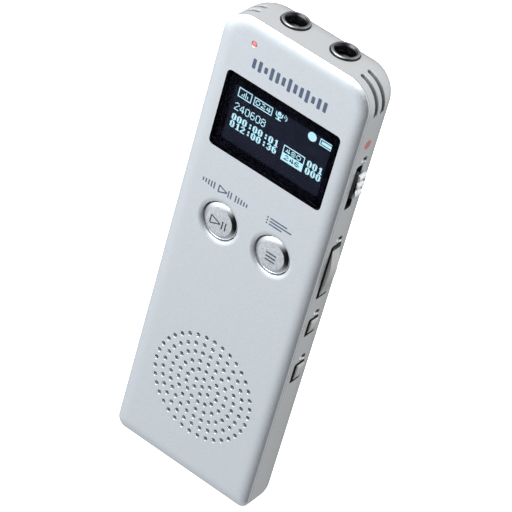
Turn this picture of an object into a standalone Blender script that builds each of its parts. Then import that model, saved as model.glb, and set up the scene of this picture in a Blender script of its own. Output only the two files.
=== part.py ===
"""A pocket stereo field recorder, built as the pieces it would come apart into on a bench.

Frame: metres, +Z along the length to the end with the two jacks, the display side faces -Y and the
record switch is on the +X side.  The origin is the middle of the flat bottom end.
Sizes below are in millimetres; MM turns them into metres where a mesh is made.
"""
import math

import bmesh
import bpy
from mathutils import Vector

MM = 0.001

# ---- driving dimensions -------------------------------------------------------------------------
LENGTH = 112.0
HALF_WIDTH = 18.2
DEPTH = 14.2
FRONT_Y = -DEPTH / 2
BACK_Y = DEPTH / 2

WALL = 1.3
BACK_WALL = 1.2
SIDE_ROUND = 8.2          # long back edges
TOP_ROUND = 6.3           # back edge at the jack end
BOTTOM_ROUND = 1.8        # back edge at the bottom end
CORNER_TOP = 6.5          # corners of the outline, seen from the front
CORNER_BOTTOM = 2.4
CORNER_EASE = 0.42        # how fast the top corners tighten as the back rounds off

PANEL_EDGE_ACROSS = 3.0   # the panel's soft edge: wide and shallow
PANEL_EDGE_DEEP = 0.9
PANEL_PLUG = 0.3          # the step on the panel's back that drops inside the case
PANEL_BACK_Y = FRONT_Y + PANEL_EDGE_DEEP + PANEL_PLUG
SEAM_Y = FRONT_Y + PANEL_EDGE_DEEP
SEAM_GAP = 0.15
GAP = 0.3                 # clearance between neighbours

WINDOW = (-14.42, 14.42, 80.06, 98.73)
WINDOW_CORNER = 1.1
OLED = (-13.2, 13.2, 84.4, 100.0)

PLAY_X, MENU_X, BUTTON_Z = -6.9, 6.8, 63.85
BUTTON_WELL_R = 4.6
BUTTON_CAP_R = 4.3
BUTTON_FACE_R = 3.25

LAMP_X, LAMP_Z, LAMP_R = -10.07, 107.0, 0.55

GRILLE_Z = 23.1
GRILLE_COUNTS = (6, 14, 18, 26, 30, 36)     # holes in each ring, from the middle out
GRILLE_PITCH = 2.09
GRILLE_HOLE_R = 0.5
GRILLE_SIDES = 6
SPEAKER_R = 10.0
MESH_R = 13.4

JACK_X, JACK_Y = 6.19, -0.1
JACK_COLLAR_R = 3.05
JACK_MOUTH_R = 2.15
JACK_BORE_R = 1.75
JACK_PROUD = 0.5

MIC_SLOT_YS = (-3.6, -1.2)
MIC_SLOT_WIDTH = 1.2
MIC_SLOT_X, MIC_SLOT_Z = 12.6, 104.6

SIDE_Y = -2.6             # middle line of the keys on the long sides
KEY_HALF_Y = 1.45
KEY_ROOM = 0.25           # clearance beside a key in its opening
KEY_PROUD = 0.55
ROCKER_Z = (58.3, 72.2)   # openings for the keys on the +X side, from and to
FORWARD_Z = (48.1, 52.8)
BACK_KEY_Z = (35.3, 40.6)
OPENING_Y = (SIDE_Y - KEY_HALF_Y - KEY_ROOM, SIDE_Y + KEY_HALF_Y + KEY_ROOM)
SLOT_Y = (SIDE_Y - 1.7, SIDE_Y + 0.5)       # the slots for the sliding switches are narrower
RECORD_SLOT_Z = (81.6, 92.5)
RECORD_KNOB_LENGTH = 6.1
RECORD_TOP_GAP = 2.0      # the knob rests this far below the top of its slot
HOLD_SLOT_Z = (84.0, 92.6)
HOLD_KNOB_LENGTH = 4.6
HOLD_LOW_GAP = 0.4
KNOB_Y = (SIDE_Y - 0.8, SIDE_Y + 1.7)       # the ribbed top, which overhangs the slot
KNOB_PROUD = 0.95
BOARD_X = 13.9            # inner face of the upright board behind the right-hand keys

COVER_HALF_X = 12.5
COVER_Z = 36.0            # lower edge of the battery cover
HINGE_Y, HINGE_Z = 4.9, 89.6
HINGE_BARREL_R = BACK_Y - HINGE_Y
HINGE_PIN_R = 0.5
HINGE_BORE_R = 0.8
HINGE_PIN_HALF = 13.5
HINGE_BORE_HALF = 13.9

CELL_R, CELL_LENGTH = 5.25, 44.5
CELL_X, CELL_Y, CELL_Z = 5.4, 0.35, 39.3

CARD = (-17.9, -2.9, 4.6, 15.6)      # x from, x to, z from, z to
CARD_Y = -0.7
USB_Z = 28.5
SCREW_R, SCREW_HEAD_R, BOSS_R = 0.6, 1.2, 1.5
BOARD_SCREWS = ((-11.6, 101.7), (11.6, 101.7))
LOWER_SCREWS = ((4.0, 6.2), (11.6, 6.2))
POST_TOP_Y = BACK_Y - BACK_WALL + 0.2

# ---- materials: colour, metallic, roughness --------------------------------------------------------
FINISHES = {
    "silver_paint": ((0.62, 0.65, 0.69), 0.45, 0.38),
    "side_grey": ((0.40, 0.41, 0.42), 0.35, 0.40),
    "dark_glass": ((0.01, 0.012, 0.02), 0.0, 0.06),
    "oled_glass": ((0.02, 0.03, 0.07), 0.0, 0.15),
    "dark_chrome": ((0.16, 0.16, 0.17), 1.0, 0.22),
    "satin_key": ((0.68, 0.70, 0.73), 0.6, 0.30),
    "grey_key": ((0.45, 0.45, 0.44), 0.3, 0.45),
    "red_lens": ((0.75, 0.06, 0.05), 0.0, 0.20),
    "black_plastic": ((0.02, 0.02, 0.022), 0.0, 0.50),
    "mesh_cloth": ((0.09, 0.10, 0.11), 0.0, 0.90),
    "speaker_paper": ((0.05, 0.05, 0.055), 0.0, 0.85),
    "magnet_steel": ((0.45, 0.45, 0.46), 1.0, 0.35),
    "boot_rubber": ((0.03, 0.03, 0.03), 0.0, 0.80),
    "board_green": ((0.03, 0.18, 0.09), 0.0, 0.45),
    "cell_jacket": ((0.10, 0.25, 0.55), 0.2, 0.35),
    "contact_nickel": ((0.70, 0.69, 0.65), 1.0, 0.25),
    "screw_steel": ((0.50, 0.50, 0.51), 1.0, 0.30),
}


# ---- helpers ---------------------------------------------------------------------------------------
def clear_scene():
    for old in list(bpy.data.objects):
        bpy.data.objects.remove(old, do_unlink=True)


def material(slot):
    """The material of one slot, made the first time it is asked for."""
    found = bpy.data.materials.get(slot)
    if found:
        return found
    colour, metallic, roughness = FINISHES[slot]
    made = bpy.data.materials.new(slot)
    made.use_nodes = True
    shader = made.node_tree.nodes["Principled BSDF"]
    shader.inputs["Base Color"].default_value = (*colour, 1.0)
    shader.inputs["Metallic"].default_value = metallic
    shader.inputs["Roughness"].default_value = roughness
    return made


def piece(name, mesh_builder, slot=None, origin=(0.0, 0.0, 0.0)):
    """An object from a bmesh in millimetres; its own origin is at a point given in millimetres."""
    offset = Vector(origin)
    for vertex in mesh_builder.verts:
        vertex.co = (vertex.co - offset) * MM
    bmesh.ops.recalc_face_normals(mesh_builder, faces=mesh_builder.faces)
    mesh = bpy.data.meshes.new(name)
    mesh_builder.to_mesh(mesh)
    mesh_builder.free()
    made = bpy.data.objects.new(name, mesh)
    made.location = offset * MM
    bpy.context.scene.collection.objects.link(made)
    if slot:
        mesh.materials.append(material(slot))
        mesh.shade_smooth()
        mesh.set_sharp_from_angle(angle=math.radians(32))
    return made


def boolean(target, operation, tool):
    """Cut, join or intersect target with a tool that isn't itself a piece of the recorder."""
    tool.hide_render = True
    tool.display_type = "WIRE"
    step = target.modifiers.new(operation.lower(), "BOOLEAN")
    step.operation = operation
    step.solver = "EXACT"
    step.object = tool
    return target


def stack(levels):
    """A closed skin through equal-length rings of points, capped at both ends."""
    work = bmesh.new()
    rings = [[work.verts.new(point) for point in ring] for ring in levels]
    count = len(rings[0])
    for low, high in zip(rings, rings[1:]):
        for i in range(count):
            j = (i + 1) % count
            work.faces.new((low[i], low[j], high[j], high[i]))
    work.faces.new(rings[0])
    work.faces.new(rings[-1])
    return work


def box(x0, x1, y0, y1, z0, z1):
    corners = ((x0, z0), (x1, z0), (x1, z1), (x0, z1))
    return stack([[(x, y, z) for x, z in corners] for y in (y0, y1)])


def rounded(x0, x1, z0, z1, low_r, high_r=None, steps=4):
    """Rounded rectangle as (x, z) points; low_r rounds the corners at z0, high_r those at z1."""
    high_r = low_r if high_r is None else high_r
    corners = ((x1 - low_r, z0 + low_r, low_r, -90), (x1 - high_r, z1 - high_r, high_r, 0),
               (x0 + high_r, z1 - high_r, high_r, 90), (x0 + low_r, z0 + low_r, low_r, 180))
    points = []
    for cx, cz, radius, start in corners:
        for step in range(steps + 1):
            angle = math.radians(start + 90.0 * step / steps)
            points.append((cx + radius * math.cos(angle), cz + radius * math.sin(angle)))
    return points


def circle(radius, cx=0.0, cz=0.0, steps=16, turn=0.0):
    angles = [turn + 2 * math.pi * i / steps for i in range(steps)]
    return [(cx + radius * math.cos(a), cz + radius * math.sin(a)) for a in angles]


def slab(outline, y0, y1):
    """An (x, z) outline with depth along Y."""
    return stack([[(x, y, z) for x, z in outline] for y in (y0, y1)])


def side_slab(outline, x0, x1):
    """A (y, z) outline with depth along X."""
    return stack([[(x, y, z) for y, z in outline] for x in (x0, x1)])


def turned(profile, place, steps=16):
    """A solid of revolution: (radius, height) points, closed on themselves, put in place by a function."""
    work = bmesh.new()
    rings = []
    for radius, height in profile:
        spots = circle(radius, steps=steps) if radius > 0 else [(0.0, 0.0)]
        rings.append([work.verts.new(place(a, b, height)) for a, b in spots])
    pairs = list(zip(rings, rings[1:]))
    if profile[0][0] > 0:
        pairs.append((rings[-1], rings[0]))
    for low, high in pairs:
        for i in range(steps):
            j = (i + 1) % steps
            if len(low) == 1:
                work.faces.new((low[0], high[j], high[i]))
            elif len(high) == 1:
                work.faces.new((low[i], low[j], high[0]))
            else:
                work.faces.new((low[i], low[j], high[j], high[i]))
    return work


def facing_front(cx, cz):
    """Places a turned profile about an axis along Y through (cx, cz); height is y."""
    return lambda a, b, height: (cx + a, height, cz + b)


def facing_up(cx, cy):
    return lambda a, b, height: (cx + a, cy + b, height)


def facing_side(cy, cz):
    return lambda a, b, height: (height, cy + a, cz + b)


# ---- the outer form --------------------------------------------------------------------------------
def round_off(depth, radius):
    """How far a rounded edge has drawn in at a depth measured from the back face."""
    if depth >= radius:
        return 0.0
    return radius - math.sqrt(radius ** 2 - (radius - depth) ** 2)


def back_ring(y, wall=0.0):
    """The outline of the case at one depth, or of its hollow when a wall thickness is given."""
    depth = BACK_Y - (BACK_WALL if wall else 0.0) - y
    side = round_off(depth, SIDE_ROUND - wall)
    top = round_off(depth, TOP_ROUND - wall)
    bottom = round_off(depth, BOTTOM_ROUND - min(wall, 1.0))
    high_r = CORNER_TOP - wall - CORNER_EASE * side
    low_r = CORNER_BOTTOM - wall
    outline = rounded(-HALF_WIDTH + wall + side, HALF_WIDTH - wall - side,
                      wall + bottom, LENGTH - wall - top, low_r, high_r, steps=5)
    return [(x, y, z) for x, z in outline]


def back_depths(wall=0.0):
    """Depths, from the flat side wall to the back face, that follow the long rounded edges."""
    back = BACK_Y - (BACK_WALL if wall else 0.0)
    radius = SIDE_ROUND - wall
    turns = [math.radians(angle) for angle in (0, 18, 34, 48, 60, 70, 79, 85, 90)]
    return [back - radius + radius * math.sin(turn) for turn in turns]


def outer_form(name, front_y, slot=None):
    """The case's outer form as one solid, from front_y to the back face."""
    levels = [back_ring(front_y)] + [back_ring(y) for y in back_depths()]
    return piece(name, stack(levels), slot)


def hollow_form(name, front_y):
    levels = [back_ring(front_y, WALL)] + [back_ring(y, WALL) for y in back_depths(WALL)]
    return piece(name, stack(levels))


def panel_ring(inset, y):
    outline = rounded(-HALF_WIDTH + inset, HALF_WIDTH - inset, inset, LENGTH - inset,
                      max(CORNER_BOTTOM - inset, 0.8), CORNER_TOP - inset, steps=5)
    return [(x, y, z) for x, z in outline]


# ---- front panel and what shows in it ----------------------------------------------------------------
def grille_holes():
    """The centres of the speaker holes: one in the middle, then rings with a hole straight above it."""
    centres = [(0.0, GRILLE_Z)]
    for ring, count in enumerate(GRILLE_COUNTS, start=1):
        centres += circle(ring * GRILLE_PITCH, 0.0, GRILLE_Z, steps=count, turn=math.pi / 2)
    return centres


def grille_cutter():
    """One cutter that holds a short prism for every speaker hole."""
    work = bmesh.new()
    for cx, cz in grille_holes():
        hole = circle(GRILLE_HOLE_R, cx, cz, steps=GRILLE_SIDES)
        rings = []
        for y in (FRONT_Y - 1.0, PANEL_BACK_Y + 1.0):
            rings.append([work.verts.new((x, y, z)) for x, z in hole])
        for i in range(GRILLE_SIDES):
            j = (i + 1) % GRILLE_SIDES
            work.faces.new((rings[0][i], rings[0][j], rings[1][j], rings[1][i]))
        work.faces.new(rings[0])
        work.faces.new(rings[1])
    return piece("cut_grille", work)


def front_panel():
    """The silver front: a shallow soft-edged plate with a step behind that locates it in the case."""
    levels = []
    for step in range(5):
        turn = math.radians(90.0 * step / 4)
        inset = PANEL_EDGE_ACROSS * (1 - math.sin(turn))
        levels.append(panel_ring(inset, SEAM_Y - PANEL_EDGE_DEEP * math.cos(turn)))
    plug_inset = WALL + GAP
    levels.append(panel_ring(plug_inset, SEAM_Y))
    levels.append(panel_ring(plug_inset, PANEL_BACK_Y))
    panel = piece("front_panel", stack(levels), "silver_paint")
    through = (FRONT_Y - 1.0, PANEL_BACK_Y + 1.0)
    window = rounded(*WINDOW, WINDOW_CORNER)
    boolean(panel, "DIFFERENCE", piece("cut_window", slab(window, *through)))
    for name, x in (("cut_play", PLAY_X), ("cut_menu", MENU_X)):
        boolean(panel, "DIFFERENCE", piece(name, slab(circle(BUTTON_WELL_R, x, BUTTON_Z, 24), *through)))
    lamp = circle(LAMP_R + GAP, LAMP_X, LAMP_Z, 12)
    boolean(panel, "DIFFERENCE", piece("cut_lamp", slab(lamp, *through)))
    boolean(panel, "DIFFERENCE", grille_cutter())


def display():
    """The window with its foam gasket, the display module behind it, and the ribbon down to the boards."""
    x0, x1, z0, z1 = WINDOW
    edge = 0.15
    glass = rounded(x0 + edge, x1 - edge, z0 + edge, z1 - edge, WINDOW_CORNER - edge)
    piece("display_window", slab(glass, FRONT_Y, PANEL_BACK_Y - 0.1), "dark_glass")
    left, right, bottom, top = OLED
    piece("oled_panel", box(left, right, -5.6, -4.6, bottom, top), "oled_glass")
    back = PANEL_BACK_Y
    gasket = slab(rounded(x0 - 0.9, x1 + 0.9, z0 - 0.9, z1 + 0.9, 1.6), back + 0.05, back + 0.2)
    gasket = piece("display_gasket", gasket, "boot_rubber")
    view = slab(rounded(x0 + 0.9, x1 - 0.9, z0 + 0.9, z1 - 0.9, 0.8), back - 1.0, back + 1.0)
    boolean(gasket, "DIFFERENCE", piece("cut_gasket", view))
    ribbon = box(-4.5, 4.5, -5.3, -5.1, bottom - 6.0, bottom - GAP)
    piece("display_ribbon", ribbon, "contact_nickel")


def front_button(name, x):
    """A round key with a broad bevel round its flat face; it slides in along +Y onto its dome."""
    middle_r = (BUTTON_CAP_R + BUTTON_FACE_R) / 2 + 0.15
    cap = [(0.0, -6.0), (BUTTON_CAP_R, -6.0), (BUTTON_CAP_R, FRONT_Y + 0.6), (middle_r, FRONT_Y + 0.15),
           (BUTTON_FACE_R, FRONT_Y - 0.05), (0.0, FRONT_Y - 0.05)]
    axis_point = (x, FRONT_Y, BUTTON_Z)
    piece(name, turned(cap, facing_front(x, BUTTON_Z), 24), "satin_key", axis_point)


def dome_sheet():
    """The flexible sheet behind the two front keys, with a metal dome under each."""
    sheet = piece("key_dome_sheet", box(-11.0, 11.0, -5.35, -5.1, 58.0, 70.0), "contact_nickel")
    for x in (PLAY_X, MENU_X):
        dome = [(0.0, -5.2), (2.2, -5.2), (2.2, -5.45), (1.4, -5.6), (0.0, -5.65)]
        boolean(sheet, "UNION", piece("dome", turned(dome, facing_front(x, BUTTON_Z), 16)))


def record_lamp():
    """A small round lens with a flange behind the panel that keeps it in."""
    flange_r = LAMP_R + 0.5
    lens = [(0.0, -5.5), (flange_r, -5.5), (flange_r, -5.75), (LAMP_R, -5.8), (LAMP_R, FRONT_Y),
            (0.0, FRONT_Y - 0.05)]
    piece("record_lamp", turned(lens, facing_front(LAMP_X, LAMP_Z), 12), "red_lens")


# ---- speaker ---------------------------------------------------------------------------------------
def speaker():
    """Cloth behind the holes, then a foam ring, and the speaker as its basket, cone and magnet."""
    place = facing_front(0.0, GRILLE_Z)
    cloth = [(0.0, -5.6), (MESH_R, -5.6), (MESH_R, -5.75), (0.0, -5.75)]
    piece("speaker_cloth", turned(cloth, place, 24), "mesh_cloth")
    rim = SPEAKER_R
    foam = [(rim - 1.0, -5.56), (rim - 1.0, -5.44), (rim, -5.44), (rim, -5.56)]
    piece("speaker_gasket", turned(foam, place, 24), "boot_rubber")
    basket = [(4.0, -2.6), (5.2, -2.6), (rim - 1.0, -4.3), (rim, -4.3), (rim, -5.4),
              (rim - 0.9, -5.4), (rim - 0.9, -4.9), (4.0, -3.3)]
    piece("speaker_basket", turned(basket, place, 24), "magnet_steel")
    cone = [(0.0, -4.3), (3.0, -3.9), (rim - 1.2, -5.25), (rim - 1.6, -5.4), (3.0, -4.3), (1.6, -4.8),
            (0.0, -4.95)]
    piece("speaker_cone", turned(cone, place, 24), "speaker_paper")
    magnet = [(0.0, -2.3), (5.2, -2.3), (5.2, -0.2), (4.6, 0.5), (0.0, 0.5)]
    piece("speaker_magnet", turned(magnet, place, 24), "magnet_steel")


# ---- rear case ---------------------------------------------------------------------------------------
def side_opening(name, side, y_range, z_range, corner):
    """A cutter through one long side wall."""
    outline = rounded(*y_range, *z_range, corner, steps=3)
    inner, outer = HALF_WIDTH - 3.0, HALF_WIDTH + 2.0
    return piece(name, side_slab(outline, side * inner, side * outer))


def cover_space(name, grow):
    """The room the battery cover takes, grown by a clearance, as a slab with a round hinge barrel."""
    half = COVER_HALF_X + grow
    top_r = HINGE_BARREL_R + grow
    floor_y = BACK_Y - BACK_WALL
    points = [(BACK_Y + 1.0, COVER_Z - grow), (floor_y - grow, COVER_Z - grow), (floor_y - grow, HINGE_Z)]
    if grow:
        points = [(BACK_Y + 1.0, COVER_Z - grow), (HINGE_Y - top_r, COVER_Z - grow)]
        points += [(HINGE_Y - top_r, HINGE_Z + top_r), (BACK_Y + 1.0, HINGE_Z + top_r)]
        return piece(name, side_slab(points, -half, half))
    barrel = []
    for step in range(13):
        turn = math.radians(215.0 - 215.0 * step / 12)
        barrel.append((HINGE_Y + top_r * math.cos(turn), HINGE_Z + top_r * math.sin(turn)))
    points = [(BACK_Y + 0.5, COVER_Z), (floor_y, COVER_Z), (floor_y, HINGE_Z - 2.4)]
    points += barrel + [(BACK_Y + 0.5, HINGE_Z - 0.4)]
    return piece(name, side_slab(points, -half, half), "silver_paint", (0.0, HINGE_Y, HINGE_Z))


def rear_case():
    """The tub behind the panel: rounded outside, hollow inside, with every opening cut through its walls."""
    front_y = SEAM_Y + SEAM_GAP
    case = outer_form("rear_case", front_y, "side_grey")
    boolean(case, "DIFFERENCE", hollow_form("cut_hollow", front_y - 1.0))
    for index, (x, z) in enumerate(BOARD_SCREWS):
        post = [(0.0, POST_TOP_Y), (BOSS_R, POST_TOP_Y), (BOSS_R, -3.2), (SCREW_R + 0.3, -3.2),
                (SCREW_R + 0.3, 1.0), (0.0, 1.0)]
        boolean(case, "UNION", piece(f"post_top_{index}", turned(post, facing_front(x, z), 12)))
    for index, (x, z) in enumerate(LOWER_SCREWS):
        post = [(0.0, POST_TOP_Y), (BOSS_R, POST_TOP_Y), (BOSS_R, 1.7), (SCREW_R + 0.3, 1.7),
                (SCREW_R + 0.3, 4.4), (0.0, 4.4)]
        boolean(case, "UNION", piece(f"post_low_{index}", turned(post, facing_front(x, z), 12)))
    for name, z_range in (("cut_rocker", ROCKER_Z), ("cut_forward", FORWARD_Z), ("cut_back_key", BACK_KEY_Z)):
        boolean(case, "DIFFERENCE", side_opening(name, 1, OPENING_Y, z_range, 0.8))
    boolean(case, "DIFFERENCE", side_opening("cut_record", 1, SLOT_Y, RECORD_SLOT_Z, 0.4))
    boolean(case, "DIFFERENCE", side_opening("cut_hold", -1, SLOT_Y, HOLD_SLOT_Z, 0.4))
    usb = rounded(SIDE_Y - 1.6, SIDE_Y + 1.6, USB_Z - 4.2, USB_Z + 4.2, 0.6, steps=2)
    boolean(case, "DIFFERENCE", piece("cut_usb", side_slab(usb, -HALF_WIDTH - 2, -HALF_WIDTH + 3)))
    card = rounded(CARD_Y - 0.8, CARD_Y + 0.8, CARD[2] - 0.4, CARD[3] + 0.4, 0.4, steps=2)
    boolean(case, "DIFFERENCE", piece("cut_card", side_slab(card, -HALF_WIDTH - 2, -HALF_WIDTH + 3)))
    for side in (-1, 1):
        hole_r, floor, mouth = JACK_COLLAR_R + 0.25, LENGTH - 3.0, LENGTH + 2.0
        hole = [(0.0, floor), (hole_r, floor), (hole_r, mouth), (0.0, mouth)]
        hole = turned(hole, facing_up(side * JACK_X, JACK_Y), 20)
        boolean(case, "DIFFERENCE", piece("cut_jack", hole))
        for y in MIC_SLOT_YS:
            half = MIC_SLOT_WIDTH / 2
            xs = sorted((side * MIC_SLOT_X, side * (HALF_WIDTH + 1.0)))
            slot = box(*xs, y - half, y + half, MIC_SLOT_Z, LENGTH + 1.0)
            boolean(case, "DIFFERENCE", piece("cut_mic", slot))
    boolean(case, "DIFFERENCE", cover_space("cut_cover", GAP))
    bore = [(0.0, -HINGE_BORE_HALF), (HINGE_BORE_R, -HINGE_BORE_HALF), (HINGE_BORE_R, HINGE_BORE_HALF),
            (0.0, HINGE_BORE_HALF)]
    boolean(case, "DIFFERENCE", piece("cut_pin", turned(bore, facing_side(HINGE_Y, HINGE_Z), 12)))


def battery_cover():
    """The door over the cells, rolled round its hinge pin at the top edge; it opens out along +Y."""
    cover = cover_space("battery_cover", 0.0)
    boolean(cover, "INTERSECT", outer_form("trim_cover", -3.0))
    bore = [(0.0, -HINGE_BORE_HALF), (HINGE_BORE_R, -HINGE_BORE_HALF), (HINGE_BORE_R, HINGE_BORE_HALF),
            (0.0, HINGE_BORE_HALF)]
    boolean(cover, "DIFFERENCE", piece("cut_barrel", turned(bore, facing_side(HINGE_Y, HINGE_Z), 12)))
    catch = slab(circle(3.2, 0.0, COVER_Z + 3.0, 16), BACK_Y - 0.5, BACK_Y + 1.0)
    boolean(cover, "DIFFERENCE", piece("cut_catch", catch))
    ends = HINGE_PIN_HALF
    pin = [(0.0, -ends), (HINGE_PIN_R, -ends), (HINGE_PIN_R, ends), (0.0, ends)]
    piece("cover_hinge_pin", turned(pin, facing_side(HINGE_Y, HINGE_Z), 12), "screw_steel")


# ---- jacks and microphones -----------------------------------------------------------------------------
def jack(name, x):
    """A 3.5 mm socket hung under the top wall, and the dark collar that frames its mouth."""
    place = facing_up(x, JACK_Y)
    top = LENGTH + JACK_PROUD
    foot = LENGTH - 1.8
    collar = [(JACK_MOUTH_R, foot), (JACK_COLLAR_R, foot), (JACK_COLLAR_R, top - 0.3),
              (JACK_COLLAR_R - 0.3, top), (JACK_MOUTH_R + 0.45, top), (JACK_MOUTH_R, top - 0.6)]
    piece(name + "_collar", turned(collar, place, 20), "dark_chrome")
    body = box(x - 2.9, x + 2.9, JACK_Y - 2.8, JACK_Y + 2.8, 98.2, 109.9)
    body = piece(name + "_socket", body, "black_plastic")
    bore = [(0.0, 99.4), (JACK_BORE_R, 99.4), (JACK_BORE_R, 111.0), (0.0, 111.0)]
    boolean(body, "DIFFERENCE", piece("cut_bore", turned(bore, place, 16)))


def microphone(name, side):
    """A capsule in its rubber boot, tucked in the top corner behind the two slots."""
    corner_x, corner_z = HALF_WIDTH - CORNER_TOP, LENGTH - CORNER_TOP
    mid_y = sum(MIC_SLOT_YS) / 2
    slant = math.sqrt(0.5)

    def place(a, b, height):
        out, along = height * slant, a * slant
        return (side * (corner_x + out + along), mid_y + b, corner_z + out - along)

    boot = [(2.1, 1.3), (2.6, 1.3), (2.6, 4.1), (2.1, 4.1)]
    piece(name + "_boot", turned(boot, place, 16), "boot_rubber")
    capsule = [(0.0, 1.5), (1.9, 1.5), (1.9, 3.7), (1.5, 3.8), (0.0, 3.8)]
    piece(name + "_capsule", turned(capsule, place, 16), "contact_nickel")


# ---- keys on the long sides -------------------------------------------------------------------------------
def side_key(name, z_range):
    """A push key on the +X side: it slides in along -X onto its switch, held in by a wider foot."""
    low, high = z_range[0] + 0.3, z_range[1] - 0.3
    face = rounded(SIDE_Y - KEY_HALF_Y, SIDE_Y + KEY_HALF_Y, low, high, 0.6, steps=3)
    foot = rounded(SIDE_Y - KEY_HALF_Y - 0.5, SIDE_Y + KEY_HALF_Y + 0.5, low - 0.6, high + 0.6, 0.6, steps=3)
    crown = rounded(SIDE_Y - KEY_HALF_Y + 0.4, SIDE_Y + KEY_HALF_Y - 0.4, low + 0.5, high - 0.5, 0.3, steps=3)
    wall_x = HALF_WIDTH - WALL
    levels = [(foot, wall_x - 0.8), (foot, wall_x - 0.25), (face, wall_x - 0.25),
              (face, HALF_WIDTH + KEY_PROUD - 0.3), (crown, HALF_WIDTH + KEY_PROUD)]
    rings = [[(x, y, z) for y, z in ring] for ring, x in levels]
    middle = (HALF_WIDTH, SIDE_Y, sum(z_range) / 2)
    piece(name, stack(rings), "grey_key", middle)


def volume_rocker():
    """One long key that tips either way about a pin across its middle."""
    middle = sum(ROCKER_Z) / 2
    half = (ROCKER_Z[1] - ROCKER_Z[0]) / 2 - 0.35
    edge, crown = HALF_WIDTH + 0.15, HALF_WIDTH + 1.0
    profile = []
    for step in range(11):
        along = -1.0 + 2.0 * step / 10
        profile.append((edge + (crown - edge) * math.cos(along * math.pi / 2) ** 1.4, middle + half * along))
    profile += [(16.2, middle + half), (16.2, middle + 1.3), (14.9, middle + 1.3),
                (14.9, middle - 1.3), (16.2, middle - 1.3), (16.2, middle - half)]
    rings = [[(x, y, z) for x, z in profile] for y in (SIDE_Y - KEY_HALF_Y, SIDE_Y + KEY_HALF_Y)]
    rocker = piece("volume_rocker", stack(rings), "grey_key", (15.9, SIDE_Y, middle))
    bore = slab(circle(0.65, 15.9, middle, 12), SIDE_Y - 3.0, SIDE_Y + 3.0)
    boolean(rocker, "DIFFERENCE", piece("cut_rocker_bore", bore))
    piece("rocker_pin", slab(circle(0.35, 15.9, middle, 12), SIDE_Y - 2.75, SIDE_Y + 2.75), "screw_steel")
    base, tall = BOARD_X + 0.55, 16.55
    arms = [(SIDE_Y - 2.6, tall), (SIDE_Y - 1.75, tall), (SIDE_Y - 1.75, base + 0.35),
            (SIDE_Y + 1.75, base + 0.35), (SIDE_Y + 1.75, tall), (SIDE_Y + 2.6, tall),
            (SIDE_Y + 2.6, base), (SIDE_Y - 2.6, base)]
    bracket = stack([[(x, y, z) for y, x in arms] for z in (middle - 1.2, middle + 1.2)])
    bracket = piece("rocker_bracket", bracket, "magnet_steel")
    hole = slab(circle(0.65, 15.9, middle, 12), SIDE_Y - 3.5, SIDE_Y + 3.5)
    boolean(bracket, "DIFFERENCE", piece("cut_bracket", hole))


def slide_switch(name, side, slot_range, knob_length, ribs, low):
    """A knob that slides along Z in a slot, its lower end at low, and the switch body behind it.

    The knob's foot fills the slot's width; a neck lifts its ribbed top just clear of the wall.
    """
    foot_x, deck_x = HALF_WIDTH - WALL - 0.4, HALF_WIDTH - 0.4
    under_x, groove_x, face_x = HALF_WIDTH + 0.3, HALF_WIDTH + 0.5, HALF_WIDTH + KNOB_PROUD
    foot_y = (SLOT_Y[0] + 0.2, SLOT_Y[1] - 0.2)
    top = low + knob_length
    pitch = knob_length / ribs
    profile = [(under_x, low)]
    for rib in range(ribs):
        start = low + rib * pitch
        profile += [(groove_x, start), (face_x, start + 0.35 * pitch), (face_x, start + 0.65 * pitch)]
    profile += [(groove_x, top), (under_x, top)]
    rings = [[(side * x, y, z) for x, z in profile] for y in KNOB_Y]
    centre = (side * HALF_WIDTH, SIDE_Y, low + knob_length / 2)
    knob = piece(name + "_slider", stack(rings), "satin_key", centre)
    neck = box(*sorted((side * foot_x, side * (under_x + 0.1))), KNOB_Y[0], foot_y[1], low + 0.1, top - 0.1)
    boolean(knob, "UNION", piece("knob_neck", neck))
    foot = box(*sorted((side * (foot_x - 0.05), side * deck_x)), *foot_y, low + 0.05, top - 0.05)
    boolean(knob, "UNION", piece("knob_foot", foot))
    xs = sorted((side * (BOARD_X + 0.6), side * (foot_x - 0.35)))
    middle = sum(slot_range) / 2
    body = box(*xs, SIDE_Y - 1.9, SIDE_Y + 1.9, middle - 5.2, middle + 5.2)
    piece(name + "_switch", body, "black_plastic")


def push_switch(name, z):
    """A small tactile switch on the upright board: a square can with a round plunger."""
    base = BOARD_X + 0.55
    can = rounded(SIDE_Y - 1.4, SIDE_Y + 1.4, z - 1.4, z + 1.4, 0.3, steps=1)
    plunger = circle(0.7, SIDE_Y, z, steps=8, turn=math.radians(-67.5))
    levels = ((can, base), (can, base + 0.9), (plunger, base + 0.9), (plunger, base + 1.3))
    rings = [[(x, y, up) for y, up in ring] for ring, x in levels]
    piece(name, stack(rings), "black_plastic")


# ---- inside ------------------------------------------------------------------------------------------------
def boards():
    """Main board behind the display, one upright board at each side, and a low one for the card."""
    main = piece("main_board", box(-13.4, 13.4, -4.3, -3.5, 87.2, 103.6), "board_green")
    for x, z in BOARD_SCREWS:
        boolean(main, "DIFFERENCE", piece("cut_main", slab(circle(0.9, x, z, 12), -5.0, -3.0)))
    lower = piece("connector_board", box(-15.6, 14.6, 0.8, 1.4, 2.2, 16.6), "board_green")
    for x, z in LOWER_SCREWS:
        boolean(lower, "DIFFERENCE", piece("cut_lower", slab(circle(0.9, x, z, 12), 0.0, 2.0)))
    piece("right_board", box(BOARD_X, BOARD_X + 0.45, -5.2, 2.6, 34.0, 96.5), "board_green")
    piece("left_board", box(-BOARD_X - 0.45, -BOARD_X, -5.2, 2.6, 38.0, 96.5), "board_green")
    piece("processor_chip", box(-6.5, 1.5, -3.3, -2.3, 88.6, 96.6), "black_plastic")
    piece("memory_chip", box(3.5, 11.0, -3.3, -2.3, 88.8, 94.8), "black_plastic")


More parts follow.
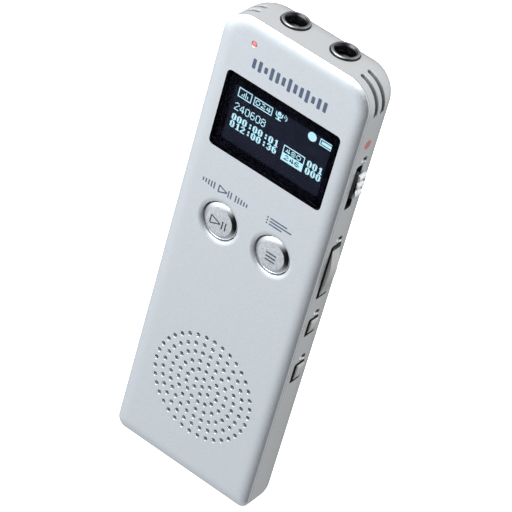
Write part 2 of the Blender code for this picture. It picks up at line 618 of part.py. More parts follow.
def card_and_sockets():
    """The memory card in its sheet-metal socket, and the shell and tongue of the data socket."""
    x0, x1, z0, z1 = CARD
    card_low, card_high = CARD_Y - 0.4, CARD_Y + 0.4
    card = rounded(x0, x1, z0, z1, 0.6, steps=2)
    piece("memory_card", slab(card, card_low, card_high), "black_plastic", (x0, CARD_Y, (z0 + z1) / 2))
    shell = box(-15.8, x1 + 1.2, CARD_Y - 0.95, CARD_Y + 0.95, z0 - 0.9, z1 + 0.9)
    shell = piece("card_socket", shell, "magnet_steel")
    throat = box(-20.0, x1 + 0.4, card_low - 0.25, card_high + 0.25, z0 - 0.3, z1 + 0.3)
    boolean(shell, "DIFFERENCE", piece("cut_throat", throat))
    outer = rounded(SIDE_Y - 1.3, SIDE_Y + 1.3, USB_Z - 3.9, USB_Z + 3.9, 0.5, steps=2)
    usb = piece("usb_socket", side_slab(outer, -17.9, -12.9), "contact_nickel")
    mouth = rounded(SIDE_Y - 0.95, SIDE_Y + 0.95, USB_Z - 3.5, USB_Z + 3.5, 0.3, steps=2)
    boolean(usb, "DIFFERENCE", piece("cut_mouth", side_slab(mouth, -19.0, -13.6)))
    tongue = box(-17.2, -13.85, SIDE_Y - 0.3, SIDE_Y + 0.3, USB_Z - 2.8, USB_Z + 2.8)
    piece("usb_tongue", tongue, "black_plastic")


def power():
    """Two AAA cells side by side, one each way up, in a frame with their contacts."""
    frame = piece("battery_frame", box(-11.9, 11.9, -4.3, 2.2, 36.2, 86.9), "black_plastic")
    boolean(frame, "DIFFERENCE", piece("cut_bay", box(-11.1, 11.1, -7.0, 7.0, 37.2, 85.9)))
    nub_r, nub = 1.9, 0.9
    for name, x, up in (("cell_left", -CELL_X, True), ("cell_right", CELL_X, False)):
        base, tip = (CELL_Z, CELL_Z + CELL_LENGTH) if up else (CELL_Z + CELL_LENGTH, CELL_Z)
        shoulder = tip - nub if up else tip + nub
        profile = [(0.0, base), (CELL_R, base), (CELL_R, shoulder),
                   (nub_r, shoulder), (nub_r, tip), (0.0, tip)]
        piece(name, turned(profile, facing_up(x, CELL_Y), 20), "cell_jacket")
    low_z, high_z = CELL_Z, CELL_Z + CELL_LENGTH
    piece("contact_bridge", box(-10.6, 10.6, -4.4, 2.0, 37.4, 37.7), "contact_nickel")
    piece("contact_plus", box(-9.9, -0.9, -4.4, 2.0, high_z + 1.5, high_z + 1.8), "contact_nickel")
    piece("contact_minus", box(0.9, 9.9, -4.4, 2.0, high_z + 1.5, high_z + 1.8), "contact_nickel")
    for name, x, z0, z1 in (("spring_lower", -CELL_X, 37.9, low_z - 0.2),
                            ("spring_upper", CELL_X, high_z + 0.2, high_z + 1.3)):
        spring = [(1.6, z0), (2.6, z0), (1.9, z1), (1.2, z1)]
        piece(name, turned(spring, facing_up(x, CELL_Y), 16), "contact_nickel")


def screws():
    """Two screws hold the main board and two the lower board, each in a post on the case."""
    for kind, places, tip, seat in (("board", BOARD_SCREWS, 0.6, -4.4), ("lower", LOWER_SCREWS, 4.1, 0.6)):
        head = seat - 0.7
        profile = [(0.0, tip), (SCREW_R, tip), (SCREW_R, seat), (SCREW_HEAD_R, seat), (SCREW_HEAD_R, head),
                   (0.0, head)]
        for index, (x, z) in enumerate(places, start=1):
            piece(f"{kind}_screw_{index}", turned(profile, facing_front(x, z), 12), "screw_steel")


def build():
    clear_scene()
    front_panel()
    display()
    front_button("play_button", PLAY_X)
    front_button("menu_button", MENU_X)
    dome_sheet()
    record_lamp()
    speaker()
    rear_case()
    battery_cover()
    jack("mic_jack", -JACK_X)
    jack("phones_jack", JACK_X)
    microphone("left_mic", -1)
    microphone("right_mic", 1)
    side_key("forward_key", FORWARD_Z)
    side_key("back_key", BACK_KEY_Z)
    volume_rocker()
    record_low = RECORD_SLOT_Z[1] - RECORD_TOP_GAP - RECORD_KNOB_LENGTH
    slide_switch("record", 1, RECORD_SLOT_Z, RECORD_KNOB_LENGTH, 3, record_low)
    slide_switch("hold", -1, HOLD_SLOT_Z, HOLD_KNOB_LENGTH, 4, HOLD_SLOT_Z[0] + HOLD_LOW_GAP)
    rocker_middle = sum(ROCKER_Z) / 2
    push_switch("volume_up_switch", rocker_middle + 5.2)
    push_switch("volume_down_switch", rocker_middle - 5.2)
    push_switch("forward_switch", sum(FORWARD_Z) / 2)
    push_switch("back_switch", sum(BACK_KEY_Z) / 2)
    boards()
    card_and_sockets()
    power()
    screws()


build()
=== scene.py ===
"""The looks of a pocket stereo field recorder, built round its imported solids.

Frame: metres, +Z along the length to the end with the two jacks, the display side faces -Y and the
record switch is on the +X side.  Sizes below are in millimetres; MM turns them into metres where a
mesh is made.  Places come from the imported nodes, through corners() and middle().
"""
import math
import re

import bmesh
import bpy
from mathutils import Matrix, Vector


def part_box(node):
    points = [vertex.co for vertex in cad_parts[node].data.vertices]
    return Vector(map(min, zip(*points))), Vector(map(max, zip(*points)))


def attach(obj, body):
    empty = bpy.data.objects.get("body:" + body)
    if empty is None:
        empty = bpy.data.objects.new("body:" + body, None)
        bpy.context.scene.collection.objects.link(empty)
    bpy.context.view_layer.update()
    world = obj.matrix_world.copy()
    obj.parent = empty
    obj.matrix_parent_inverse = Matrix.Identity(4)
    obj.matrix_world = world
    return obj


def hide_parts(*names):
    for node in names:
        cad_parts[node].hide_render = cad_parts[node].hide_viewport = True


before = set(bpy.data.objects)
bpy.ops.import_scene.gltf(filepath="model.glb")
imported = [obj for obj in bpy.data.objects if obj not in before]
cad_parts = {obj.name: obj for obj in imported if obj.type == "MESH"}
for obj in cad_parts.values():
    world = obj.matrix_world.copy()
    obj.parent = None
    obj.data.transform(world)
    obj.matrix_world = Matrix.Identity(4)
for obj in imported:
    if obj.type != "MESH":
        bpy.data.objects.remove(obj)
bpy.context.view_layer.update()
MM = 0.001


def corners(node):
    """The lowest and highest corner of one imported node, in millimetres."""
    low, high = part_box(node)
    return Vector(low) / MM, Vector(high) / MM


def middle(node):
    low, high = corners(node)
    return (low + high) / 2


# ---- driving dimensions, in millimetres ----
HALF_WIDTH, BACK_Y, LENGTH = corners("rear_case")[1]
FRONT_Y = corners("front_panel")[0].y
CASE_FRONT_Y = corners("rear_case")[0].y
PANEL_BACK_Y = corners("front_panel")[1].y
PANEL_EDGE_ACROSS, PANEL_EDGE_DEEP = 3.0, 0.9
SEAM_Y = FRONT_Y + PANEL_EDGE_DEEP
WALL, BACK_WALL = 1.3, 1.2
SIDE_ROUND, TOP_ROUND, BOTTOM_ROUND = 8.2, 6.3, 1.8
CORNER_TOP, CORNER_BOTTOM, CORNER_EASE = 6.5, 2.4, 0.42
FINE = 14                       # steps in one quarter turn of a large corner

WINDOW_CORNER, WINDOW_GAP = 1.1, 0.05
CUT_PAST = 1.0                  # how far a cutter runs past the wall that it cuts
BUTTONS = {"play_button": "play_key", "menu_button": "menu_key"}
BUTTON_X = {name: middle(name).x for name in BUTTONS}
BUTTON_Z = middle("play_button").z
BUTTON_CAP_R = (corners("play_button")[1].x - corners("play_button")[0].x) / 2
BUTTON_FACE_R = 3.25
# The easing of a hole lists how much wider it is at each depth behind the front face.
WELL_DISH = ((0.0, 0.5), (0.05, 0.3), (0.12, 0.2), (0.35, 0.12), (0.6, 0.055), (0.85, 0.012), (1.05, -0.002))
LAMP = middle("record_lamp")
LAMP_R = 0.55
LAMP_EASING = ((0.0, 0.04), (0.04, 0.0))

GRILLE_Z = middle("speaker_cloth").z
GRILLE_COUNTS = (6, 14, 18, 26, 30, 36)     # holes in each ring, from the middle out
GRILLE_PITCH, GRILLE_HOLE_R = 2.09, 0.5
GRILLE_EASING = ((0.0, 0.2), (0.03, 0.1), (0.07, 0.03), (0.13, -0.001))

JACK_X, JACK_Y = middle("phones_jack_collar").x, middle("phones_jack_collar").y
JACK_TOP = corners("phones_jack_collar")[1].z
COLLAR_R = corners("phones_jack_collar")[1].x - JACK_X
MOUTH_R, JACK_BORE_R = 2.15, 1.75

MIC_SLOT_YS = (-3.6, -1.2)
MIC_SLOT_HALF = 0.6
MIC_SLOT_LOW, MIC_SLOT_TURN = -0.9, math.radians(82.0)     # below the corner's start, and round it
MIC_SLOT_EASING = ((-2.2, -0.08), (-0.2, -0.08), (-0.06, -0.04), (0.02, 0.08), (0.8, 0.08))
MIC_SLOT_RIM = 0.19             # the slot's walls are painted darker below this depth, as painted shade

SIDE_Y = middle("forward_key").y
KEY_HALF_Y = 1.45
KEY_PROUD = 0.55
OPENING_Y = (SIDE_Y - KEY_HALF_Y - 0.42, SIDE_Y + KEY_HALF_Y + 0.25)
SLOT_Y = (SIDE_Y - 1.7, SIDE_Y + 0.5)       # the slots for the sliding switches are narrower
SLOT_LENGTHS = {"record": 10.9, "hold": 8.6}
DIMPLE_LENGTH = 1.9

COVER_LOW, COVER_HIGH = corners("battery_cover")
HINGE = middle("cover_hinge_pin")
HINGE_BARREL_R = BACK_Y - HINGE.y
PIN_R, PIN_HALF = 0.8, 13.9
COVER_GAP = 0.3
COVER_TRIM_Y = -3.0             # well in front of the cover
CATCH_Z = COVER_LOW.z + 3.0     # the thumb catch
GRIP_COUNT, GRIP_PITCH, GRIP_Z = 5, 1.5, COVER_LOW.z + 8.4


# ---- mesh helpers ----
def smooth(mesh, degrees=32.0):
    mesh.shade_smooth()
    mesh.set_sharp_from_angle(angle=math.radians(degrees))


def tool(work, *finishes):
    """An object that only cuts others; it is deleted once it has been used, and may leave its finish."""
    for vertex in work.verts:
        vertex.co = vertex.co * MM
    bmesh.ops.recalc_face_normals(work, faces=work.faces)
    mesh = bpy.data.meshes.new("tool")
    work.to_mesh(mesh)
    work.free()
    made = bpy.data.objects.new("tool", mesh)
    for finish in finishes:
        mesh.materials.append(finish)
    bpy.context.scene.collection.objects.link(made)
    return made


def bevel_edges(made, width, degrees=28.0, segments=3):
    """Rounds the edges of a piece that turn by more than an angle; width is in millimetres."""
    edge = made.modifiers.new("edges", "BEVEL")
    edge.width = width * MM
    edge.segments = segments
    edge.limit_method = "ANGLE"
    edge.angle_limit = math.radians(degrees)
    settle(made)


def piece(name, work, *finishes, slot, body="case", node=None, bevel=0.0):
    """A visible piece from a bmesh in millimetres, riding on a body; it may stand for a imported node."""
    made = tool(work, *finishes)
    made.name = made.data.name = name
    if bevel:
        bevel_edges(made, bevel)
    smooth(made.data)
    if node:
        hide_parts(node)
    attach(made, body)
    return made


def settle(target):
    """Turns what target's modifiers make into its own mesh."""
    bpy.context.view_layer.update()
    evaluated = target.evaluated_get(bpy.context.evaluated_depsgraph_get())
    mesh = bpy.data.meshes.new_from_object(evaluated)
    mesh.name = target.name
    target.modifiers.clear()
    target.data = mesh


def carve(target, tools, operation="DIFFERENCE"):
    """Cuts or trims target with each tool in turn; a cut keeps the finish of its tool."""
    for each in tools:
        step = target.modifiers.new("step", "BOOLEAN")
        step.operation = operation
        step.solver = "EXACT"
        step.object = each
        if each.data.materials:
            step.material_mode = "TRANSFER"
    settle(target)
    for each in tools:
        bpy.data.objects.remove(each, do_unlink=True)


def even_out(target, degrees=32.0):
    """Weighs the normals by face size, so that large flat faces stay flat beside rounded edges."""
    smooth(target.data, degrees)
    step = target.modifiers.new("normals", "WEIGHTED_NORMAL")
    step.keep_sharp = True
    step.weight = 50
    settle(target)


def stack(levels):
    """A closed skin through equal-length rings of points, capped at both ends."""
    work = bmesh.new()
    rings = [[work.verts.new(point) for point in ring] for ring in levels]
    count = len(rings[0])
    for low, high in zip(rings, rings[1:]):
        for i in range(count):
            j = (i + 1) % count
            work.faces.new((low[i], low[j], high[j], high[i]))
    work.faces.new(rings[0])
    work.faces.new(rings[-1])
    return work


def paint_faces(work, choose):
    """Gives each face the finish whose number choose works out from the face's middle."""
    for face in work.faces:
        face.material_index = int(choose(face.calc_center_median()))
    return work


def join(*works):
    """One bmesh holding several, which keep their own closed skins."""
    whole = bmesh.new()
    for work in works:
        part = bpy.data.meshes.new("part")
        work.to_mesh(part)
        work.free()
        whole.from_mesh(part)
        bpy.data.meshes.remove(part)
    return whole


def box(x0, x1, y0, y1, z0, z1):
    outline = ((x0, z0), (x1, z0), (x1, z1), (x0, z1))
    return stack([[(x, y, z) for x, z in outline] for y in (y0, y1)])


def rounded(x0, x1, z0, z1, low_r, high_r=None, steps=6):
    """Rounded rectangle as (x, z) points; low_r rounds the corners at z0, high_r those at z1."""
    high_r = low_r if high_r is None else high_r
    turns = ((x1 - low_r, z0 + low_r, low_r, -90), (x1 - high_r, z1 - high_r, high_r, 0),
             (x0 + high_r, z1 - high_r, high_r, 90), (x0 + low_r, z0 + low_r, low_r, 180))
    points = []
    for cx, cz, radius, start in turns:
        for step in range(steps + 1):
            angle = math.radians(start + 90.0 * step / steps)
            points.append((cx + radius * math.cos(angle), cz + radius * math.sin(angle)))
    return points


def grown(x0, x1, z0, z1, corner, sizes, steps=6, follow=1.0):
    """Rings of a rounded rectangle that faces the front, grown by an amount at each depth y."""
    rings = []
    for grow, y in sizes:
        outline = rounded(x0 - grow, x1 + grow, z0 - grow, z1 + grow, corner + grow * follow, steps=steps)
        rings.append([(x, y, z) for x, z in outline])
    return rings


def circle(radius, cx=0.0, cz=0.0, steps=48, turn=0.0):
    angles = [turn + 2 * math.pi * i / steps for i in range(steps)]
    return [(cx + radius * math.cos(a), cz + radius * math.sin(a)) for a in angles]


def slab(outline, y0, y1):
    return stack([[(x, y, z) for x, z in outline] for y in (y0, y1)])


def side_slab(outline, x0, x1):
    return stack([[(x, y, z) for y, z in outline] for x in (x0, x1)])


def turned(profile, place, steps=64):
    """A solid of revolution from (radius, height) points; a profile off the axis closes on itself."""
    work = bmesh.new()
    rings = []
    for radius, height in profile:
        around = circle(radius, steps=steps) if radius > 0 else [(0, 0)]
        rings.append([work.verts.new(place(a, b, height)) for a, b in around])
    pairs = list(zip(rings, rings[1:]))
    if profile[0][0] > 0:
        pairs.append((rings[-1], rings[0]))
    for low, high in pairs:
        for i in range(steps):
            j = (i + 1) % steps
            if len(low) == 1:
                work.faces.new((low[0], high[j], high[i]))
            elif len(high) == 1:
                work.faces.new((low[i], low[j], high[0]))
            else:
                work.faces.new((low[i], low[j], high[j], high[i]))
    return work


def facing_front(cx, cz):
    return lambda a, b, height: (cx + a, height, cz + b)


def facing_up(cx, cy):
    return lambda a, b, height: (cx + a, cy + b, height)


def facing_side(cy, cz):
    return lambda a, b, height: (height, cy + a, cz + b)


def arc(cx, cy, radius, start, end, steps=6):
    """Points on a circle between two angles in degrees."""
    turns = [math.radians(start + (end - start) * i / steps) for i in range(steps + 1)]
    return [(cx + radius * math.cos(t), cy + radius * math.sin(t)) for t in turns]


# ---- finishes ----
class Finish:
    """A Principled material, and the few patterns that the finishes are made from."""

    def __init__(self, name, colour, metallic, roughness, **uniform):
        self.material = bpy.data.materials.new(name)
        self.material.use_nodes = True
        self.nodes = self.material.node_tree.nodes
        self.links = self.material.node_tree.links
        self.shader = self.nodes["Principled BSDF"]
        self.place = self.nodes.new("ShaderNodeTexCoord").outputs["Object"]
        self.normal = None
        self.shader.inputs["Base Color"].default_value = (*colour, 1.0)
        self.shader.inputs["Metallic"].default_value = metallic
        self.shader.inputs["Roughness"].default_value = roughness
        for socket, value in uniform.items():
            self.shader.inputs[socket.replace("_", " ")].default_value = value
        self.colour = colour

    def stretched(self, stretch):
        if stretch == (1, 1, 1):
            return self.place
        scaled = self.nodes.new("ShaderNodeVectorMath")
        scaled.operation = "MULTIPLY"
        scaled.inputs[1].default_value = stretch
        self.links.new(self.place, scaled.inputs[0])
        return scaled.outputs[0]

    def noise(self, size, detail=2.0, stretch=(1, 1, 1)):
        """Soft random patches about as wide as size, in millimetres."""
        made = self.nodes.new("ShaderNodeTexNoise")
        made.inputs["Scale"].default_value = 1.0 / (size * MM)
        made.inputs["Detail"].default_value = detail
        self.links.new(self.stretched(stretch), made.inputs["Vector"])
        return made.outputs["Fac"]

    def cells(self, size, feature="F1"):
        """Cells about as wide as size, in millimetres, as the distance from each middle."""
        made = self.nodes.new("ShaderNodeTexVoronoi")
        made.feature = feature
        made.inputs["Scale"].default_value = 1.0 / (size * MM)
        self.links.new(self.place, made.inputs["Vector"])
        return made.outputs["Distance"]

    def waves(self, pitch, axis, shape="SIN"):
        """Straight ridges across one axis, pitch apart in millimetres."""
        made = self.nodes.new("ShaderNodeTexWave")
        made.bands_direction = axis
        made.wave_profile = shape
        made.inputs["Scale"].default_value = math.pi / (10.0 * pitch * MM)
        self.links.new(self.place, made.inputs["Vector"])
        return made.outputs["Fac"]

    def blend(self, first, second, operation="MULTIPLY"):
        made = self.nodes.new("ShaderNodeMath")
        made.operation = operation
        self.links.new(first, made.inputs[0])
        self.links.new(second, made.inputs[1])
        return made.outputs[0]

    def span(self, value, low, high, start=0.3, end=0.7):
        made = self.nodes.new("ShaderNodeMapRange")
        made.inputs["From Min"].default_value = start
        made.inputs["From Max"].default_value = end
        made.inputs["To Min"].default_value = low
        made.inputs["To Max"].default_value = high
        self.links.new(value, made.inputs["Value"])
        return made.outputs["Result"]

    def mixed(self, value, first, second, start=0.4, end=0.6):
        """Base colour that runs from one colour to another with value."""
        made = self.nodes.new("ShaderNodeValToRGB")
        low, high = made.color_ramp.elements
        low.position, high.position = start, end
        low.color, high.color = (*first, 1.0), (*second, 1.0)
        self.links.new(value, made.inputs["Fac"])
        self.links.new(made.outputs["Color"], self.shader.inputs["Base Color"])

    def tint(self, value, dark, light, start=0.3, end=0.7):
        """Base colour times dark where value is at start, and times light where it is at end."""
        ends = [[min(c * factor, 1.0) for c in self.colour] for factor in (dark, light)]
        self.mixed(value, *ends, start, end)

    def gloss(self, value, low, high, start=0.3, end=0.7):
        self.links.new(self.span(value, low, high, start, end), self.shader.inputs["Roughness"])

    def relief(self, value, height):
        """Bumps as deep as height, in millimetres, added to the relief so far."""
        made = self.nodes.new("ShaderNodeBump")
        made.inputs["Strength"].default_value = 1.0
        made.inputs["Distance"].default_value = height * MM
        self.links.new(value, made.inputs["Height"])
        if self.normal:
            self.links.new(self.normal, made.inputs["Normal"])
        self.normal = made.outputs["Normal"]
        self.links.new(self.normal, self.shader.inputs["Normal"])


def metallic_paint(name, colour, metallic, roughness):
    """Fine flake in a satin lacquer, with the faint unevenness of sprayed paint."""
    made = Finish(name, colour, metallic, roughness, Coat_Weight=0.15, Coat_Roughness=0.12)
    flake = made.noise(0.22, 3.0)
    made.tint(flake, 0.93, 1.06)
    made.gloss(made.noise(0.5, 2.0), roughness - 0.05, roughness + 0.06)
    made.relief(flake, 0.0035)
    made.relief(made.noise(1.6, 1.0), 0.006)
    return made.material


def plated(name, colour, roughness, brush=None):
    """Bright plating; brush is the axis stretch of its fine lines, if it has any."""
    made = Finish(name, colour, 1.0, roughness)
    grain = made.noise(0.15, 3.0, brush) if brush else made.noise(0.6, 2.0)
    made.tint(made.noise(1.8, 2.0), 0.9, 1.05)
    made.gloss(grain, roughness * 0.7, roughness * 1.4)
    made.relief(grain, 0.002)
    return made.material


def moulded(name, colour, roughness, grain=0.25, depth=0.008):
    """Moulded plastic or rubber with a spark-eroded grain."""
    made = Finish(name, colour, 0.0, roughness)
    speck = made.noise(grain, 3.0)
    made.tint(made.noise(2.5, 2.0), 0.85, 1.15)
    made.gloss(speck, roughness - 0.08, roughness + 0.08)
    made.relief(speck, depth)
    return made.material


def satin_cap(name, colour, metallic):
    """Metallised plastic with the coarse sparkle of a bead-blasted mould."""
    made = Finish(name, colour, metallic, 0.34)
    speck = made.noise(0.3, 3.0)
    made.tint(speck, 0.68, 1.18)
    made.gloss(speck, 0.28, 0.42)
    made.relief(speck, 0.012)
    return made.material


def print_ink(name, colour):
    made = Finish(name, colour, 0.0, 0.45)
    made.tint(made.noise(0.3, 2.0), 0.88, 1.12)
    made.relief(made.noise(0.12, 2.0), 0.002)
    return made.material


def window_glass():
    made = Finish("smoked_window", (0.72, 0.76, 0.80), 0.0, 0.02, Transmission_Weight=1.0, IOR=1.06)
    made.gloss(made.noise(3.0, 2.0), 0.012, 0.03)
    made.relief(made.noise(9.0, 1.0), 0.0008)
    return made.material


def lit_dots(name, colour, strength):
    made = Finish(name, (0.3, 0.4, 0.42), 0.0, 0.6, Emission_Strength=strength)
    glow = made.nodes.new("ShaderNodeValToRGB")
    glow.color_ramp.elements[0].color = (*[c * 0.8 for c in colour], 1.0)
    glow.color_ramp.elements[1].color = (*colour, 1.0)
    made.links.new(made.noise(0.5, 1.0), glow.inputs["Fac"])
    made.links.new(glow.outputs["Color"], made.shader.inputs["Emission Color"])
    return made.material


def display_back(name, colour, strength):
    """The dark field round the lit dots: a fine dot grid that glows faintly."""
    made = Finish(name, colour, 0.0, 0.5, Emission_Strength=strength, Specular_IOR_Level=0.05)
    grid = made.blend(made.waves(0.22, "X"), made.waves(0.22, "Z"))
    made.tint(grid, 0.6, 1.2, 0.1, 0.7)
    made.shader.inputs["Emission Color"].default_value = (*colour, 1.0)
    return made.material


def border_print(name, colour):
    """The black print behind the window's edge: almost no gloss of its own, faintly uneven."""
    made = Finish(name, colour, 0.0, 0.6, Specular_IOR_Level=0.03)
    made.tint(made.noise(1.5, 2.0), 0.8, 1.2)
    made.relief(made.noise(0.2, 2.0), 0.001)
    return made.material


def woven(name, colour, pitch):
    made = Finish(name, colour, 0.0, 0.9)
    weave = made.blend(made.waves(pitch, "X"), made.waves(pitch, "Z"), "MAXIMUM")
    made.tint(weave, 0.35, 1.3, 0.2, 0.9)
    made.relief(weave, 0.05)
    made.relief(made.noise(0.1, 2.0), 0.01)
    return made.material


def circuit_board():
    """Solder mask with copper tracks that show through as lighter lines."""
    made = Finish("board_green_detail", (0.02, 0.13, 0.06), 0.0, 0.38, Coat_Weight=0.3)
    tracks = made.cells(1.3, "DISTANCE_TO_EDGE")
    made.mixed(tracks, (0.07, 0.30, 0.14), (0.015, 0.11, 0.05), 0.04, 0.09)
    made.relief(made.span(tracks, 1.0, 0.0, 0.04, 0.09), 0.03)
    made.relief(made.noise(0.2, 2.0), 0.004)
    return made.material


def paper_cone():
    made = Finish("speaker_paper_detail", (0.05, 0.05, 0.055), 0.0, 0.85)
    fibre = made.noise(0.25, 4.0, (1.0, 1.0, 2.5))
    made.tint(fibre, 0.6, 1.5)
    made.relief(fibre, 0.03)
    return made.material


def cell_sleeve(name, colour):
    """A shrunk printed sleeve: glossy, with faint draw lines along the cell."""
    made = Finish(name, colour, 0.15, 0.28, Coat_Weight=0.4)
    lines = made.noise(0.5, 2.0, (1.0, 1.0, 0.05))
    made.tint(lines, 0.85, 1.12)
    made.gloss(lines, 0.22, 0.36)
    made.relief(lines, 0.006)
    return made.material


def red_glow(name, colour, roughness):
    made = Finish(name, colour, 0.0, roughness, Specular_IOR_Level=0.3)
    made.tint(made.noise(0.3, 2.0), 0.85, 1.15)
    made.relief(made.noise(0.2, 1.0), 0.003)
    return made.material


ALONG = (1.0, 1.0, 0.06)        # stretch of lines that run along the length
ROUND = (1.0, 0.06, 1.0)        # stretch of lines that run through the depth

SILVER = metallic_paint("silver_paint_detail", (0.80, 0.85, 0.90), 0.8, 0.33)
COVER_SILVER = metallic_paint("cover_silver_detail", (0.62, 0.65, 0.68), 0.6, 0.38)
CASE_GREY = metallic_paint("side_grey_detail", (0.48, 0.487, 0.493), 0.5, 0.38)
KEY_GREY = metallic_paint("grey_key_detail", (0.50, 0.50, 0.48), 0.45, 0.36)
SLIDER = satin_cap("slider_satin_detail", (0.84, 0.85, 0.86), 0.6)
CAP_FACE = satin_cap("button_face_detail", (0.545, 0.58, 0.615), 0.4)
CAP_EDGE = plated("button_edge_plating", (0.64, 0.655, 0.68), 0.15)
# A dark grey for the deep walls of the microphone slots: painted shade.
SLOT_WALL_SHADE = moulded("slot_wall_painted_shade", (0.19, 0.20, 0.21), 0.5)
# A dark grey that stands for the shade in the sliding switches' slots: painted shade.
SLOT_SHADE_GREY = moulded("slot_painted_shade", (0.105, 0.112, 0.12), 0.42)
DIMPLE = plated("dimple_plating", (0.62, 0.63, 0.64), 0.24)
ENGRAVED = moulded("engraved_fill", (0.06, 0.07, 0.08), 0.5, 0.2, 0.004)
COLLAR = plated("dark_chrome_detail", (0.27, 0.27, 0.28), 0.28)
# A darker copy of the collar plating for its mouth and its side below the top: painted shade.
COLLAR_SHADE = plated("dark_chrome_painted_shade", (0.06, 0.06, 0.065), 0.30)
GLASS = window_glass()
BEZEL = border_print("window_black_border", (0.0035, 0.0035, 0.008))
FIELD = display_back("oled_field", (0.0135, 0.0145, 0.026), 0.6)
LIT_DOTS = lit_dots("oled_pixels", (0.52, 0.88, 0.95), 1.0)
INK = print_ink("print_blue_grey", (0.065, 0.09, 0.145))
RED_INK = print_ink("print_red", (0.62, 0.16, 0.13))
RED_LENS = red_glow("red_lens_detail", (0.72, 0.20, 0.20), 0.4)
BLACK = moulded("black_plastic_detail", (0.02, 0.02, 0.022), 0.5)
# Black that stands for the shade in the side openings and round the feet of the side keys: painted shade.
GAP_SHADE_BLACK = moulded("gap_painted_shade", (0.012, 0.012, 0.013), 0.7)
RUBBER = moulded("boot_rubber_detail", (0.03, 0.03, 0.03), 0.8, 0.4, 0.02)
CLOTH = woven("mesh_cloth_detail", (0.10, 0.11, 0.12), 0.24)
MIC_MESH = woven("mic_mesh_detail", (0.30, 0.31, 0.32), 0.16)
CONE = paper_cone()
STEEL = plated("steel_detail", (0.45, 0.45, 0.46), 0.34, ALONG)
NICKEL = plated("nickel_detail", (0.70, 0.69, 0.65), 0.24, ROUND)
SCREW = plated("screw_detail", (0.50, 0.50, 0.51), 0.28, ROUND)
BOARD = circuit_board()
SLEEVE = cell_sleeve("cell_jacket_detail", (0.07, 0.16, 0.34))
SLEEVE_BAND = cell_sleeve("cell_band_detail", (0.62, 0.63, 0.62))

CARRIED = (
    (BEZEL, "oled_panel"),
    (BLACK, "record_switch hold_switch volume_up_switch volume_down_switch forward_switch back_switch"
            " processor_chip memory_chip battery_frame"),
    (BOARD, "main_board connector_board right_board left_board"),
    (CONE, "speaker_cone"),
    (NICKEL, "display_ribbon key_dome_sheet left_mic_capsule right_mic_capsule"
             " contact_bridge contact_plus contact_minus"),
    (RUBBER, "display_gasket speaker_gasket left_mic_boot right_mic_boot"),
    (SCREW, "rocker_pin cover_hinge_pin board_screw_1 board_screw_2 lower_screw_1 lower_screw_2"),
    (STEEL, "speaker_basket speaker_magnet rocker_bracket card_socket"),
)


def finish_carried_nodes():
    """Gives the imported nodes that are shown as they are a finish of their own."""
    for finish, names in CARRIED:
        for name in names.split():
            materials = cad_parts[name].data.materials
            for index in range(len(materials)):
                materials[index] = finish
            if not materials:
                materials.append(finish)


# ---- the outer form ----
def round_off(depth, radius):
    """How far a rounded edge has drawn in at a depth measured from the back face."""
    if depth >= radius:
        return 0.0
    return radius - math.sqrt(radius ** 2 - (radius - depth) ** 2)


def back_ring(y, wall=0.0):
    """The outline of the case at one depth, or of its hollow when a wall thickness is given."""
    depth = BACK_Y - (BACK_WALL if wall else 0.0) - y
    side = round_off(depth, SIDE_ROUND - wall)
    top = round_off(depth, TOP_ROUND - wall)
    bottom = round_off(depth, BOTTOM_ROUND - min(wall, 1.0))
    outline = rounded(-HALF_WIDTH + wall + side, HALF_WIDTH - wall - side, wall + bottom, LENGTH - wall - top,
                      CORNER_BOTTOM - wall, CORNER_TOP - wall - CORNER_EASE * side, steps=FINE)
    return [(x, y, z) for x, z in outline]


def back_levels(front_y, wall=0.0):
    """Rings from front_y to the back face that follow the long rounded edges closely."""
    back = BACK_Y - (BACK_WALL if wall else 0.0)
    radius = SIDE_ROUND - wall
    turns = [math.radians(90.0 * math.sin(math.radians(90.0 * i / 20))) for i in range(21)]
    return [back_ring(front_y, wall)] + [back_ring(back - radius + radius * math.sin(t), wall) for t in turns]


def panel_ring(inset, y):
    outline = rounded(-HALF_WIDTH + inset, HALF_WIDTH - inset, inset, LENGTH - inset,
                      max(CORNER_BOTTOM - inset, 0.8), CORNER_TOP - inset, steps=FINE)
    return [(x, y, z) for x, z in outline]


def grille_centres():
    """One hole in the middle, then the rings, each with a hole straight above the middle."""
    centres = [(0.0, GRILLE_Z)]
    for ring, count in enumerate(GRILLE_COUNTS, start=1):
        centres += circle(ring * GRILLE_PITCH, 0.0, GRILLE_Z, steps=count, turn=math.pi / 2)
    return centres


def eased_hole(radius, easing):
    """The profile of a round cutter through the panel; easing widens it towards the front face."""
    rim = [(radius + across, FRONT_Y + deep) for across, deep in easing]
    back, out = PANEL_BACK_Y + CUT_PAST, FRONT_Y - CUT_PAST
    return [(0.0, back), (radius, back), *rim, (rim[-1][0], out), (0.0, out)]


